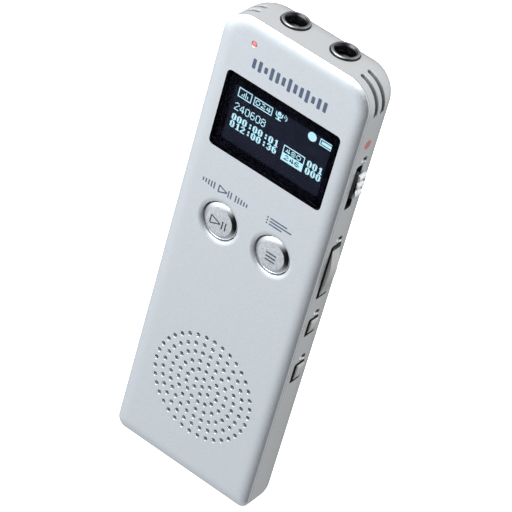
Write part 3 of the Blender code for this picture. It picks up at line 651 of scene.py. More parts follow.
def front_panel():
    """The silver front, with soft edges, dished key wells, and eased speaker holes."""
    levels = [panel_ring(PANEL_EDGE_ACROSS + 0.25, FRONT_Y)]
    for step in range(FINE + 1):
        turn = math.radians(90.0 * step / FINE)
        inset = PANEL_EDGE_ACROSS * (1 - math.sin(turn))
        levels.append(panel_ring(inset, SEAM_Y - PANEL_EDGE_DEEP * math.cos(turn)))
    plug_inset = WALL + 0.3
    levels += [panel_ring(plug_inset, SEAM_Y), panel_ring(plug_inset, PANEL_BACK_Y)]
    panel = piece("front_shell", stack(levels), SILVER, slot="silver_paint", node="front_panel")

    low, high = corners("display_window")
    easing = 0.03
    sizes = ((0.0, PANEL_BACK_Y + CUT_PAST), (0.0, FRONT_Y + 0.04), (easing, FRONT_Y),
             (easing, FRONT_Y - CUT_PAST))
    window = grown(low.x - WINDOW_GAP, high.x + WINDOW_GAP, low.z - WINDOW_GAP, high.z + WINDOW_GAP,
                   WINDOW_CORNER, sizes)
    tools = [tool(stack(window), BEZEL)]
    well = eased_hole(BUTTON_CAP_R + 0.2, WELL_DISH)
    for x in BUTTON_X.values():
        tools.append(tool(turned(well, facing_front(x, BUTTON_Z), 72)))
    lamp = eased_hole(LAMP_R + 0.12, LAMP_EASING)
    tools.append(tool(turned(lamp, facing_front(LAMP.x, LAMP.z), 24)))
    hole = eased_hole(GRILLE_HOLE_R, GRILLE_EASING)
    tools.append(tool(join(*[turned(hole, facing_front(x, z), 18) for x, z in grille_centres()])))
    carve(panel, tools)
    even_out(panel)


def side_opening(side, y0, y1, z0, z1, corner, flare=0.14):
    """A cutter for an opening in a side wall: its eased rim has the wall's finish, the rest is black as
    painted shade in the opening.
    """
    sizes = ((0.0, -3.2), (0.0, -flare), (flare * 0.35, -flare * 0.3), (flare, 0.01), (flare, 2.0))
    levels = []
    for grow, x in sizes:
        outline = rounded(y0 - grow, y1 + grow, z0 - grow, z1 + grow, corner + grow, steps=5)
        levels.append([(side * (HALF_WIDTH + x), y, z) for y, z in outline])
    work = paint_faces(stack(levels), lambda spot: abs(spot.x) >= HALF_WIDTH - flare)
    return tool(work, GAP_SHADE_BLACK, CASE_GREY)


def dimple(z_low):
    """A cutter for the polished fingertip scoop just above an opening."""
    half = DIMPLE_LENGTH / 2
    turns = [math.pi * i / 16 for i in range(1, 16)]
    profile = [(0.0, -1.0)] + [(math.sin(t), -math.cos(t)) for t in turns] + [(0.0, 1.0)]

    def place(a, b, height):
        return (HALF_WIDTH + 0.12 + height * 0.95, SIDE_Y + 0.3 + a * 1.1, z_low + half + 0.1 + b * half)

    return tool(turned(profile, place, 32), DIMPLE)


def mic_slot(side, y):
    """A cutter for one slot that runs up the side and round a top corner, with round ends."""
    cx, cz = HALF_WIDTH - CORNER_TOP, LENGTH - CORNER_TOP
    start, end = MIC_SLOT_LOW, CORNER_TOP * MIC_SLOT_TURN
    cap = MIC_SLOT_HALF
    eased = [math.radians(90.0 * i / 6) for i in range(7)]
    runs = [start + cap * (1 - math.cos(t)) for t in eased]
    runs += [start + cap + (end - start - 2 * cap) * i / 24 for i in range(1, 24)]
    runs += [end - cap * (1 - math.sin(t)) for t in eased]
    levels = []
    for run in runs:
        reach = min(1.0, (run - start) / cap, (end - run) / cap)
        half = MIC_SLOT_HALF * math.sqrt(max(1.0 - (1.0 - reach) ** 2, 0.01))
        turn, drop = max(run, 0.0) / CORNER_TOP, min(run, 0.0)
        ring = [(CORNER_TOP + out, max(half + widen, 0.02)) for out, widen in MIC_SLOT_EASING]
        ring += [(radius, -width) for radius, width in reversed(ring)]
        across, rise = math.cos(turn), math.sin(turn)
        levels.append([(side * (cx + r * across), y + w, cz + drop + r * rise) for r, w in ring])

    def at_rim(spot):
        return CORNER_TOP - math.hypot(abs(spot.x) - cx, max(spot.z - cz, 0.0)) <= MIC_SLOT_RIM

    # Walls deeper than the rim take the dark grey as painted shade; the rim keeps the case's grey.
    return tool(paint_faces(stack(levels), at_rim), SLOT_WALL_SHADE, CASE_GREY)


def slot_range(name):
    """From and to along Z for the slot of a sliding switch."""
    centre = middle(name + "_switch").z
    return centre - SLOT_LENGTHS[name] / 2, centre + SLOT_LENGTHS[name] / 2


def key_range(name, clearance):
    """From and to along Z for the opening round a side key; the foot behind a key is left out."""
    low, high = corners(name)
    return low.z + clearance, high.z - clearance


OPENINGS = {
    "volume_rocker": key_range("volume_rocker", -0.35),
    "forward_key": key_range("forward_key", 0.3),
    "back_key": key_range("back_key", 0.3),
    "record_slider": slot_range("record"),
}


def cover_profile(grow):
    """The (y, z) outline of the battery cover and its hinge barrel, or of its room when grow is given."""
    floor_y = BACK_Y - BACK_WALL
    top_r = HINGE_BARREL_R + grow
    if grow:
        out = BACK_Y + CUT_PAST
        return [(out, COVER_LOW.z - grow), (HINGE.y - top_r, COVER_LOW.z - grow),
                (HINGE.y - top_r, HINGE.z + top_r), (out, HINGE.z + top_r)]
    barrel = arc(HINGE.y, HINGE.z, top_r, 215.0, 0.0, 30)
    return ([(BACK_Y + 0.5, COVER_LOW.z), (floor_y, COVER_LOW.z), (floor_y, HINGE.z - 2.4)] + barrel
            + [(BACK_Y + 0.5, HINGE.z - 0.4)])


def hinge_bore():
    """A cutter for the hinge pin's hole."""
    profile = [(0.0, -PIN_HALF), (PIN_R, -PIN_HALF), (PIN_R, PIN_HALF), (0.0, PIN_HALF)]
    return tool(turned(profile, facing_side(HINGE.y, HINGE.z), 24))


def rear_case():
    """The tub behind the panel: rounded outside, hollow inside, with eased openings and slots."""
    case = piece("case_shell", stack(back_levels(CASE_FRONT_Y)), CASE_GREY, slot="side_grey",
                 node="rear_case")
    tools = [tool(stack(back_levels(CASE_FRONT_Y - CUT_PAST, WALL)))]
    for name, (low, high) in OPENINGS.items():
        tools.append(side_opening(1, *(SLOT_Y if name == "record_slider" else OPENING_Y), low, high, 0.5))
        tools.append(dimple(high))
    tools.append(side_opening(-1, *SLOT_Y, *slot_range("hold"), 0.5))
    low, high = corners("usb_socket")
    tools.append(side_opening(-1, low.y - 0.3, high.y + 0.3, low.z - 0.3, high.z + 0.3, 0.6))
    low, high = corners("memory_card")
    tools.append(side_opening(-1, low.y - 0.4, high.y + 0.4, low.z - 0.4, high.z + 0.4, 0.4, 0.1))
    jack_r = COLLAR_R + 0.12
    hole = [(0.0, LENGTH - 4.0), (jack_r, LENGTH - 4.0), (jack_r, LENGTH - 0.15), (jack_r + 0.15, LENGTH),
            (jack_r + 0.2, LENGTH + 2.0), (0.0, LENGTH + 2.0)]
    for side in (-1, 1):
        tools.append(tool(turned(hole, facing_up(side * JACK_X, JACK_Y), 64)))
        for y in MIC_SLOT_YS:
            tools.append(mic_slot(side, y))
    half = COVER_HIGH.x + COVER_GAP
    tools.append(tool(side_slab(cover_profile(COVER_GAP), -half, half)))
    tools.append(hinge_bore())
    carve(case, tools)
    even_out(case)


def battery_cover():
    """The door over the cells, with a thumb catch and grip grooves; it rolls open on its hinge pin."""
    cover = piece("cover_shell", side_slab(cover_profile(0.0), COVER_LOW.x, COVER_HIGH.x), COVER_SILVER,
                  body="cover", slot="silver_paint", node="battery_cover")
    carve(cover, [tool(stack(back_levels(COVER_TRIM_Y)))], "INTERSECT")
    catch = ((0.0, -0.5), (2.9, -0.5), (3.1, -0.4), (3.25, 0.0), (3.3, 0.5), (0.0, 0.5))
    catch = [(radius, BACK_Y + out) for radius, out in catch]
    tools = [hinge_bore(), tool(turned(catch, facing_front(0.0, CATCH_Z), 48))]
    sizes = [(grow, BACK_Y + out) for grow, out in ((-0.18, -0.3), (0.0, -0.12), (0.1, 0.01), (0.1, 0.6))]
    for row in range(GRIP_COUNT):
        z = GRIP_Z + GRIP_PITCH * row
        half = 5.2 - 0.75 * abs(row - GRIP_COUNT // 2)
        # The groove walls take the darker side grey as painted shade in the grooves.
        tools.append(tool(stack(grown(-half, half, z - 0.35, z + 0.35, 0.35, sizes)), CASE_GREY))
    carve(cover, tools)
    even_out(cover)


# ---- display ----
FIELD_Y = corners("oled_panel")[0].y - 0.03
FIELD_Z = (82.2, 95.6)                          # the lit glass inside the window's black border
DOT, DOT_GAP = 0.2245, 0.012
DOT_Y = (FIELD_Y - 0.035, FIELD_Y - 0.02)
DISPLAY_LEFT = -11.35
DISPLAY_ROWS = (95.2, 91.5, 88.8, 87.05)        # tops of the four lines on the display
BOLD_DIGITS = {
    "0": (" ### ", "## ##", "## ##", "## ##", "## ##", "## ##", " ### "),
    "1": ("  ## ", " ### ", "  ## ", "  ## ", "  ## ", "  ## ", " ####"),
    "2": (" ### ", "## ##", "   ##", "  ## ", " ##  ", "##   ", "#####"),
    "3": (" ### ", "## ##", "   ##", "  ## ", "   ##", "## ##", " ### "),
    "6": (" ### ", "##   ", "#### ", "## ##", "## ##", "## ##", " ### "),
    ":": ("     ", "  ## ", "  ## ", "     ", "  ## ", "  ## ", "     "),
}
LIGHT_DIGITS = {
    "0": (" ### ", "#   #", "#   #", "#   #", "#   #", "#   #", "#   #", " ### "),
    "2": (" ### ", "#   #", "    #", "   # ", "  #  ", " #   ", "#    ", "#####"),
    "4": ("   # ", "  ## ", " # # ", " # # ", "#  # ", "#####", "   # ", "   # "),
    "6": (" ### ", "#    ", "#    ", "#### ", "#   #", "#   #", "#   #", " ### "),
    "8": (" ### ", "#   #", "#   #", " ### ", "#   #", "#   #", "#   #", " ### "),
}
MICROPHONE = (
    "    ##     #",
    " # #### #   #",
    " # #### # #  #",
    " # #### #  # #",
    " ##    ##    #",
    "  ######    #",
    "    ##     ",
    "    ##     ",
    "  ######   ",
)


def lit_runs(rows, left, top, work):
    """Adds one thin tile for each run of lit dots; rows are drawn with # signs, top row first."""
    for index, row in enumerate(rows):
        z1 = top - index * DOT
        for run in re.finditer("#+", row):
            x0, x1 = left + run.start() * DOT, left + run.end() * DOT
            work.append(box(x0 + DOT_GAP, x1 - DOT_GAP, *DOT_Y,
                            z1 - DOT + DOT_GAP * 0.3, z1 - DOT_GAP * 0.3))


def number(text, left, top, work, digits):
    """Adds a line of digits, each five dots wide and one apart."""
    for place, sign in enumerate(text):
        lit_runs(digits[sign], left + place * 6 * DOT, top, work)


def small_number(text):
    """The rows of a low line of digits: every light digit keeps five of its eight rows."""
    return [" ".join(LIGHT_DIGITS[sign][row] for sign in text) for row in (0, 2, 3, 5, 7)]


def boxed(inside, width, height, filled=False):
    """Rows of a frame with a sign in its middle; a filled frame shows the sign dark."""
    pad = (height - len(inside)) // 2
    rows = []
    for index in range(height):
        sign = inside[index - pad] if 0 <= index - pad < len(inside) else ""
        left = (width - len(inside[0])) // 2
        line = (" " * left + sign).ljust(width)[:width]
        if filled:
            line = "".join(" " if mark == "#" else "#" for mark in line)
        elif index in (0, height - 1):
            line = "#" * width
        else:
            line = "#" + line[1:-1] + "#"
        rows.append(line)
    return rows


def display():
    """Smoked window, black border behind it, and the lit display with a layout of plain numbers."""
    low, high = corners("display_window")
    sizes = ((-0.12, FRONT_Y + 0.005), (-0.04, FRONT_Y + 0.04), (0.0, FRONT_Y + 0.12), (0.0, high.y))
    plate = stack(grown(low.x, high.x, low.z, high.z, WINDOW_CORNER - 0.15, sizes, steps=8, follow=0.0))
    plate.normal_update()
    for face in plate.faces:
        face.material_index = 1 if abs(face.normal.y) < 0.5 else 0
    piece("window_glass", plate, GLASS, BEZEL, slot="dark_glass", node="display_window")

    panel_low, panel_high = corners("oled_panel")
    outline = rounded(panel_low.x + 0.2, panel_high.x - 0.2, FIELD_Z[0] - 0.4, FIELD_Z[1] + 0.4, 0.3)
    piece("display_field", slab(outline, FIELD_Y, FIELD_Y + 0.02), FIELD, slot="oled_glass")
    outline = rounded(low.x + 0.1, high.x - 0.1, low.z + 0.1, high.z - 0.1, 0.9, steps=8)
    rim = piece("display_border", slab(outline, high.y + 0.02, high.y + 0.06), BEZEL, slot="black_plastic")
    outline = rounded(panel_low.x + 0.9, panel_high.x - 0.85, *FIELD_Z, 0.5)
    carve(rim, [tool(slab(outline, high.y - CUT_PAST, high.y + CUT_PAST))])

    work = []
    left, (first, second, third, fourth) = DISPLAY_LEFT, DISPLAY_ROWS
    level_sign = ("    #  ", "    #  ", "  # #  ", "  # # #", "# # # #", "# # # #")
    ends = ["#" * 16, "#" + " " * 14 + "##"]
    battery = ends + ["# ############ ##"] * 3 + ends[::-1]
    signs = (
        (boxed(level_sign, 15, 10), 0.0, first),
        (boxed(small_number("024"), 21, 9), 17.5, first - 0.1),
        (MICROPHONE, 41.0, first),
        (boxed(small_number("480"), 24, 9), 59.0, third + 0.1),
        (boxed(small_number("246"), 24, 8, filled=True), 59.0, fourth - 0.02),
        (battery, 92.0, first - 0.15),
    )
    for rows, column, top in signs:
        lit_runs(rows, left + column * DOT, top, work)
    number("240608", left, second, work, LIGHT_DIGITS)
    number("000:00:01", left, third, work, BOLD_DIGITS)
    number("012:00:36", left, fourth, work, BOLD_DIGITS)
    number("001", left + 86 * DOT, third, work, BOLD_DIGITS)
    number("000", left + 86 * DOT, fourth, work, BOLD_DIGITS)
    work.append(slab(circle(1.05, left + 83.5 * DOT, first - 1.0, 32), *DOT_Y))
    piece("display_pixels", join(*work), LIT_DOTS, slot="oled_glass")


# ---- keys and lamp on the front ----
def stroke(x0, z0, x1, z1, width, y0, y1):
    """A straight engraved or printed line with square ends."""
    along = Vector((x1 - x0, z1 - z0)).normalized()
    side = Vector((-along.y, along.x)) * (width / 2)
    ends = [Vector((x0, z0)), Vector((x1, z1))]
    outline = [ends[0] + side, ends[0] - side, ends[1] - side, ends[1] + side]
    return slab([(p.x, p.y) for p in outline], y0, y1)


def play_pause(cx, cz, high, width, y0, y1):
    """An outlined triangle and two bars, centred on a point."""
    half = high / 2
    left, tip = cx - high * 0.98, cx + high * 0.02
    lines = [((left, cz - half), (left, cz + half)), ((left, cz + half), (tip + high * 0.25, cz)),
             ((tip + high * 0.25, cz), (left, cz - half)),
             ((cx + high * 0.5, cz - half), (cx + high * 0.5, cz + half)),
             ((cx + high * 0.9, cz - half), (cx + high * 0.9, cz + half))]
    return [stroke(*start, *end, width, y0, y1) for start, end in lines]


def three_bars(cx, cz, wide, high, width, y0, y1):
    """Three level lines, one above another."""
    return [stroke(cx - wide / 2, cz + shift, cx + wide / 2, cz + shift, width, y0, y1)
            for shift in (-high / 2, 0.0, high / 2)]


CAP_SIDE = ((0.1, -6.0), (0.0, -6.1), (0.0, -6.45), (0.04, -6.54), (0.12, -6.62), (0.3, -6.74),
            (0.52, -6.87), (0.76, -6.98))           # in from the cap's edge, and the place along Y
CAP_LIP = ((0.1, -7.06), (0.0, -7.085), (-0.12, -7.095))        # out from the face's edge, and along Y
CAP_DISH = ((2.4, -7.12), (1.2, -7.145))                        # out from the middle, and along Y


def front_buttons():
    """Round keys: a satin face with an engraved sign, inside a broad polished bevel."""
    face_y = FRONT_Y - 0.05
    for name, body in BUTTONS.items():
        x = BUTTON_X[name]
        profile = [(0.0, CAP_SIDE[0][1])] + [(BUTTON_CAP_R - inset, y) for inset, y in CAP_SIDE]
        profile += [(BUTTON_FACE_R + across, y) for across, y in CAP_LIP]
        profile += [*CAP_DISH, (0.0, face_y)]

        def on_bevel(spot):
            return math.hypot(spot.x - x, spot.z - BUTTON_Z) > BUTTON_FACE_R - 0.02

        work = paint_faces(turned(profile, facing_front(x, BUTTON_Z), 80), on_bevel)
        cap = piece(name + "_cap", work, CAP_FACE, CAP_EDGE, body=body, slot="satin_key", node=name)
        depths = (face_y - 0.2, face_y + 0.17)
        if name == "play_button":
            signs = play_pause(x - 0.05, BUTTON_Z - 0.3, 2.05, 0.3, *depths)
        else:
            signs = three_bars(x + 0.05, BUTTON_Z - 0.45, 2.5, 1.7, 0.34, *depths)
        carve(cap, [tool(sign, ENGRAVED) for sign in signs])
        even_out(cap, 25.0)


def record_lamp():
    """A flush domed light pipe."""
    turns = [math.pi / 2 * i / 5 for i in range(5)]
    lens = [(0.0, -5.5), (LAMP_R + 0.5, -5.5), (LAMP_R + 0.5, -5.75), (LAMP_R, -5.8)]
    lens += [(LAMP_R * math.cos(t), FRONT_Y + 0.05 - 0.07 * math.sin(t)) for t in turns]
    lens.append((0.0, FRONT_Y - 0.02))
    work = turned(lens, facing_front(LAMP.x, LAMP.z), 32)
    piece("lamp_lens", work, RED_LENS, slot="red_lens", node="record_lamp")


INK_Y = (FRONT_Y - 0.006, FRONT_Y + 0.01)
BARS_Z, BARS_REACH, BAR_COUNT = 102.95, 8.9, 13
LABEL_Z, PLAY_LABEL_X = 71.35, -7.35
LINE_PITCH = 0.72               # between the lines of a printed sign
RED_DOT, RED_DOT_R = (-2.9, 97.7), 1.1            # the red dot on the side, along Y and Z


def level_bars():
    """A row of level bars above the window."""
    bars = []
    for index in range(BAR_COUNT):
        along = 2.0 * index / (BAR_COUNT - 1) - 1.0
        half = 0.7 + 0.85 * abs(math.sin(index * 1.15 + 0.9)) * (1.0 - 0.3 * along ** 2)
        x = BARS_REACH * along
        bars.append(slab(rounded(x - 0.42, x + 0.42, BARS_Z - half, BARS_Z + half, 0.25, steps=4), *INK_Y))
    piece("level_bars_print", join(*bars), INK, slot="silver_paint")


def labels():
    """Plain signs over the two round keys, and the red dot on the side."""
    signs = play_pause(PLAY_LABEL_X, LABEL_Z, 1.7, 0.3, *INK_Y)
    for start, step in ((-10.2, -LINE_PITCH), (-4.6, LINE_PITCH)):
        for index in range(5):
            half = 0.85 - 0.1 * index
            x = start + step * index
            signs.append(stroke(x, LABEL_Z - half, x, LABEL_Z + half, 0.32, *INK_Y))
    piece("play_label_print", join(*signs), INK, slot="silver_paint")
    signs = []
    for index, far in enumerate((8.6, 9.9, 7.6)):
        z = LABEL_Z + LINE_PITCH * (1 - index)
        signs.append(slab(circle(0.22, 3.7, z, 12), *INK_Y))
        signs.append(stroke(4.3, z, far, z, 0.34, *INK_Y))
    piece("menu_label_print", join(*signs), INK, slot="silver_paint")
    dot = side_slab(circle(RED_DOT_R, *RED_DOT, 32), HALF_WIDTH - 0.01, HALF_WIDTH + 0.006)
    piece("record_dot_print", dot, RED_INK, slot="side_grey")


# ---- speaker ----
def speaker_cloth():
    low, high = corners("speaker_cloth")
    radius = (high.x - low.x) / 2
    profile = [(0.0, high.y), (radius - 0.1, high.y), (radius, high.y - 0.04), (radius, low.y + 0.04),
               (radius - 0.1, low.y), (0.0, low.y)]
    piece("speaker_mesh", turned(profile, facing_front(0.0, GRILLE_Z), 72), CLOTH, slot="mesh_cloth",
          node="speaker_cloth")


# ---- jacks and microphones ----
COLLAR_EDGE = ((0.0, 0.34), (0.03, 0.2), (0.11, 0.08), (0.22, 0.02), (0.3, 0.0), (0.48, 0.0), (0.56, 0.04),
               (0.62, 0.14))                        # in from the collar's edge, and down from its top


def jacks():
    """A plated collar round each mouth, over a socket with a steel sleeve in its bore."""
    for name, side in (("mic_jack", -1), ("phones_jack", 1)):
        x = side * JACK_X
        place = facing_up(x, JACK_Y)
        foot = corners(name + "_collar")[0].z
        profile = [(MOUTH_R, foot), (COLLAR_R, foot)]
        profile += [(COLLAR_R - inset, JACK_TOP - down) for inset, down in COLLAR_EDGE]
        profile += [(MOUTH_R + 0.08, JACK_TOP - 0.42), (MOUTH_R, JACK_TOP - 0.55)]

        # Inside the mouth and down the collar's side below its top, the plating is painted darker as painted
        # shade.
        def shaded(spot):
            return math.hypot(spot.x - x, spot.y - JACK_Y) < COLLAR_R - 0.56 or spot.z < JACK_TOP - 0.25

        work = paint_faces(turned(profile, place, 72), shaded)
        piece(name + "_ring", work, COLLAR, COLLAR_SHADE, slot="dark_chrome", node=name + "_collar")

        low, high = corners(name + "_socket")
        body = piece(name + "_body", box(low.x, high.x, low.y, high.y, low.z, high.z), BLACK, bevel=0.25,
                     slot="black_plastic", node=name + "_socket")
        mouth_r = JACK_BORE_R + 0.3
        bore_end, out = low.z + 1.2, high.z + CUT_PAST
        bore = [(0.0, bore_end), (JACK_BORE_R, bore_end), (JACK_BORE_R, high.z - 0.3), (mouth_r, high.z),
                (mouth_r, out), (0.0, out)]
        carve(body, [tool(turned(bore, place, 40))])
        even_out(body)
        sleeve = ((0.12, 2.6), (0.01, 2.6), (0.01, 0.5), (0.06, 0.42), (0.12, 0.5))
        sleeve = [(JACK_BORE_R - inset, high.z - down) for inset, down in sleeve]
        piece(name + "_sleeve", turned(sleeve, place, 40), STEEL, slot="magnet_steel")


def mic_screens():
    """Fine mesh behind each pair of slots, curved with the corner."""
    cx, cz = HALF_WIDTH - CORNER_TOP, LENGTH - CORNER_TOP
    radius = CORNER_TOP - WALL - 0.15
    ring = ((radius - 0.1, -4.6), (radius, -4.6), (radius, -0.6), (radius - 0.1, -0.6))
    turns = [math.radians(2.0 + 86.0 * step / 24) for step in range(25)]
    for name, side in (("left_mic_screen", -1), ("right_mic_screen", 1)):
        levels = [[(side * (cx + r * math.cos(t)), y, cz + r * math.sin(t)) for r, y in ring] for t in turns]
        piece(name, stack(levels), MIC_MESH, slot="mesh_cloth")


# ---- keys on the long sides ----
def paint_foot_shade(made, reach):
    """Splits a key where it leaves the wall, and gives the part inside a black finish of painted shade in the
    gap.
    """
    work = bmesh.new()
    work.from_mesh(made.data)
    bmesh.ops.bisect_plane(work, geom=[*work.verts, *work.edges, *work.faces], plane_co=(reach * MM, 0, 0),
                           plane_no=(1, 0, 0))
    paint_faces(work, lambda spot: abs(spot.x) < reach * MM)
    work.to_mesh(made.data)
    work.free()
    made.data.materials.append(GAP_SHADE_BLACK)


KEY_STEPS = ((0.5, 0.5, -WALL - 0.8), (0.5, 0.5, -WALL - 0.25), (0.0, 0.0, -WALL - 0.25), (0.0, 0.0, -0.1),
             (-0.02, -0.2, 0.06), (-0.04, -0.5, 0.22), (-0.1, -0.8, 0.34), (-0.25, -1.1, 0.44),
             (-0.5, -1.4, KEY_PROUD - 0.04), (-0.9, -1.8, KEY_PROUD))


def side_keys():
    """Two push keys with a steep front, and a long slope towards their lower end.

    Each of KEY_STEPS is how far the outline has grown, how far its lower end has, and how far it stands
    out from the side.
    """
    for name, body in (("forward_key", "forward_push"), ("back_key", "back_push")):
        low, high = OPENINGS[name]
        low, high = low + 0.55, high - 0.3
        levels = []
        for grow, foot, out in KEY_STEPS:
            outline = rounded(SIDE_Y - KEY_HALF_Y - grow, SIDE_Y + KEY_HALF_Y + grow, low - foot, high + grow,
                              max(0.5 + grow * 0.4, 0.2))
            levels.append([(HALF_WIDTH + out, y, z) for y, z in outline])
        # The part of each key at and inside the wall is painted black as painted shade in the gap.
        work = paint_faces(stack(levels), lambda spot: abs(spot.x) < HALF_WIDTH + 0.2)
        piece(name + "_cap", work, KEY_GREY, GAP_SHADE_BLACK, body=body, slot="grey_key", node=name)


def volume_rocker():
    """One long key that swells in the middle, on a pin across it."""
    low, high = corners("volume_rocker")
    centre, half = (low.z + high.z) / 2, (high.z - low.z) / 2
    edge, swell = HALF_WIDTH + 0.15, high.x - HALF_WIDTH - 0.15
    profile = []
    for step in range(33):
        along = -1.0 + 2.0 * step / 32
        profile.append((edge + swell * math.cos(along * math.pi / 2) ** 1.4, centre + half * along))
    inner, foot, boss = 16.2, 14.9, 1.3
    profile += [(inner, centre + half), (inner, centre + boss), (foot, centre + boss), (foot, centre - boss),
                (inner, centre - boss), (inner, centre - half)]
    work = slab(profile, SIDE_Y - KEY_HALF_Y, SIDE_Y + KEY_HALF_Y)
    rocker = piece("rocker_cap", work, KEY_GREY, body="volume_key", slot="grey_key", node="volume_rocker")
    pin = middle("rocker_pin")
    carve(rocker, [tool(slab(circle(0.65, pin.x, pin.z, 24), SIDE_Y - 3.0, SIDE_Y + 3.0))])
    bevel_edges(rocker, 0.35, 40.0, segments=5)
    # The rocker's part inside the wall is painted black as painted shade in the gap.
    paint_foot_shade(rocker, HALF_WIDTH + 0.22)
    even_out(rocker)


def ribbed_knob(name, ribs, side, body):
    """A sliding knob: a foot in dark grey, as painted shade of the slot, that fills the slot's width, under a
    ribbed silver top beside it.
    """
    low, high = corners(name)
    out = high.x if side > 0 else -low.x
    root = low.x if side > 0 else -high.x
    deck, under = HALF_WIDTH - 0.4, HALF_WIDTH + 0.3
    top_y = (low.y + 0.7, high.y)
    foot_end = SLOT_Y[1] - 0.2
    lip = under + 0.05
    outline = ((root, low.y), (deck, low.y), (deck, top_y[0]), (lip, top_y[0]), (lip, foot_end),
               (root, foot_end))
    foot = stack([[(side * x, y, z) for x, y in outline] for z in (low.z + 0.05, high.z - 0.05)])
    piece(name.replace("_slider", "_knob_foot"), foot, SLOT_SHADE_GREY, body=body, bevel=0.06, slot="black_plastic",
          node=name)
    pitch = (high.z - low.z) / ribs
    profile = [(under, low.z), (under, high.z)]
    groove = under + 0.12
    for rib in reversed(range(ribs)):
        start = low.z + rib * pitch
        for step in range(9, 0, -1):
            along = step / 10
            lift = math.sin(math.pi * along) ** 0.6
            profile.append((groove + (out - groove) * lift, start + pitch * along))
        if rib:
            profile.append((groove, start))
    rings = [[(side * x, y, z) for x, z in profile] for y in top_y]
    knob = piece(name.replace("_slider", "_knob_ribs"), stack(rings), SLIDER, body=body, slot="satin_key")
    bevel_edges(knob, 0.12, 60.0)
    even_out(knob, 40.0)


def slot_shade_sheets():
    """A dark sheet behind each sliding switch, painted shade which closes off the inside of the case."""
    for name, side in (("record", 1), ("hold", -1)):
        low, high = slot_range(name)
        x = sorted((side * (HALF_WIDTH - WALL - 0.55), side * (HALF_WIDTH - WALL - 0.47)))
        piece(name + "_slot_shade_sheet", box(*x, SIDE_Y - 2.1, SIDE_Y + 0.9, low - 0.4, high + 0.4), SLOT_SHADE_GREY,
              slot="black_plastic")


# ---- sockets on the left side ----
def usb_port():
    """A hollow metal shell round a thin tongue with its contacts."""
    low, high = corners("usb_socket")
    outer = rounded(low.y, high.y, low.z, high.z, 0.5, steps=6)
    shell = piece("usb_shell", side_slab(outer, low.x, high.x), NICKEL, slot="contact_nickel",
                  node="usb_socket")
    thick = 0.35
    mouth = rounded(low.y + thick, high.y - thick, low.z + thick, high.z - thick, 0.3, steps=6)
    carve(shell, [tool(side_slab(mouth, low.x - CUT_PAST, high.x - 0.7))])
    even_out(shell)
    low, high = corners("usb_tongue")
    tongue = box(low.x, high.x, low.y, high.y, low.z, high.z)
    pads = []
    for index in range(5):
        z = (low.z + high.z) / 2 + (index - 2) * 0.95
        pads.append(box(low.x + 0.15, high.x - 0.6, low.y - 0.03, low.y + 0.02, z - 0.25, z + 0.25))
    piece("usb_blade", tongue, BLACK, bevel=0.06, slot="black_plastic", node="usb_tongue")
    piece("usb_contacts", join(*pads), NICKEL, slot="contact_nickel")


def memory_card():
    """A small card with a nail groove at its outer end and contacts at the inner one."""
    low, high = corners("memory_card")
    sizes = ((-0.1, low.y), (0.0, low.y + 0.1), (0.0, high.y - 0.1), (-0.1, high.y))
    work = stack(grown(low.x, high.x, low.z, high.z, 0.6, sizes, follow=0.0))
    card = piece("card_body", work, BLACK, body="card", slot="black_plastic", node="memory_card")
    groove = tool(box(low.x + 0.5, low.x + 1.0, high.y - 0.15, high.y + CUT_PAST, low.z + 1.5, high.z - 1.5))
    carve(card, [groove])
    even_out(card)
    pads = []
    for index in range(8):
        z = low.z + 1.4 + index * 1.15
        pads.append(box(high.x - 3.2, high.x - 0.5, high.y - 0.01, high.y + 0.02, z - 0.4, z + 0.4))
    piece("card_contacts", join(*pads), NICKEL, body="card", slot="contact_nickel")


# ---- power ----
# In from the sleeve's edge and up from the foot; then down from the nub's end; then out from the middle.
CELL_FOOT = ((1.0, 0.0), (0.8, 0.15), (0.35, 0.05), (0.1, 0.12), (0.0, 0.4))
CELL_SHOULDER = ((0.0, 9.5), (0.0, 9.3), (0.0, 1.7), (0.12, 1.35), (0.5, 1.15), (0.9, 1.2), (1.1, 0.95))
CELL_NUB = ((2.3, 0.9), (2.0, 0.8), (1.9, 0.15), (1.75, 0.0), (0.0, 0.0))
CELL_BAND = 9.4                 # length of the light band at the nub's end


def cells():
    """Two cells in printed sleeves, each with a crimped shoulder, a raised nub and a light band."""
    for name, up in (("cell_left", True), ("cell_right", False)):
        low, high = corners(name)
        centre = middle(name)
        radius = (high.x - low.x) / 2
        base, tip = (low.z, high.z) if up else (high.z, low.z)
        way = 1 if up else -1
        profile = [(0.0, base)] + [(radius - inset, base + way * rise) for inset, rise in CELL_FOOT]
        profile += [(radius - inset, tip - way * down) for inset, down in CELL_SHOULDER]
        profile += [(across, tip - way * down) for across, down in CELL_NUB]

        def finish_number(spot):
            if math.hypot(spot.x - centre.x, spot.y - centre.y) < radius - 0.6:
                return 2
            return abs(tip - spot.z) < CELL_BAND

        work = paint_faces(turned(profile, facing_up(centre.x, centre.y)), finish_number)
        piece(name + "_sleeve", work, SLEEVE, SLEEVE_BAND, NICKEL, slot="cell_jacket", node=name)


def springs():
    """A conical wire spring at one end of each cell, wide end on the frame."""
    per_turn, sides, turns, wire = 28, 8, 2.5, 0.18
    count = int(turns * per_turn)
    for name, low_r, high_r in (("spring_lower", 2.3, 1.5), ("spring_upper", 1.5, 2.3)):
        low, high = corners(name)
        centre = middle(name)
        rings = []
        for step in range(count + 1):
            along = step / count
            turn = 2 * math.pi * turns * along
            out = Vector((math.cos(turn), math.sin(turn), 0.0))
            spot = Vector((centre.x, centre.y, low.z + wire + (high.z - low.z - 2 * wire) * along))
            spot += out * (low_r + (high_r - low_r) * along)
            rings.append([spot + out * a + Vector((0, 0, b)) for a, b in circle(wire, steps=sides)])
        piece(name + "_wire", stack(rings), NICKEL, slot="contact_nickel", node=name)


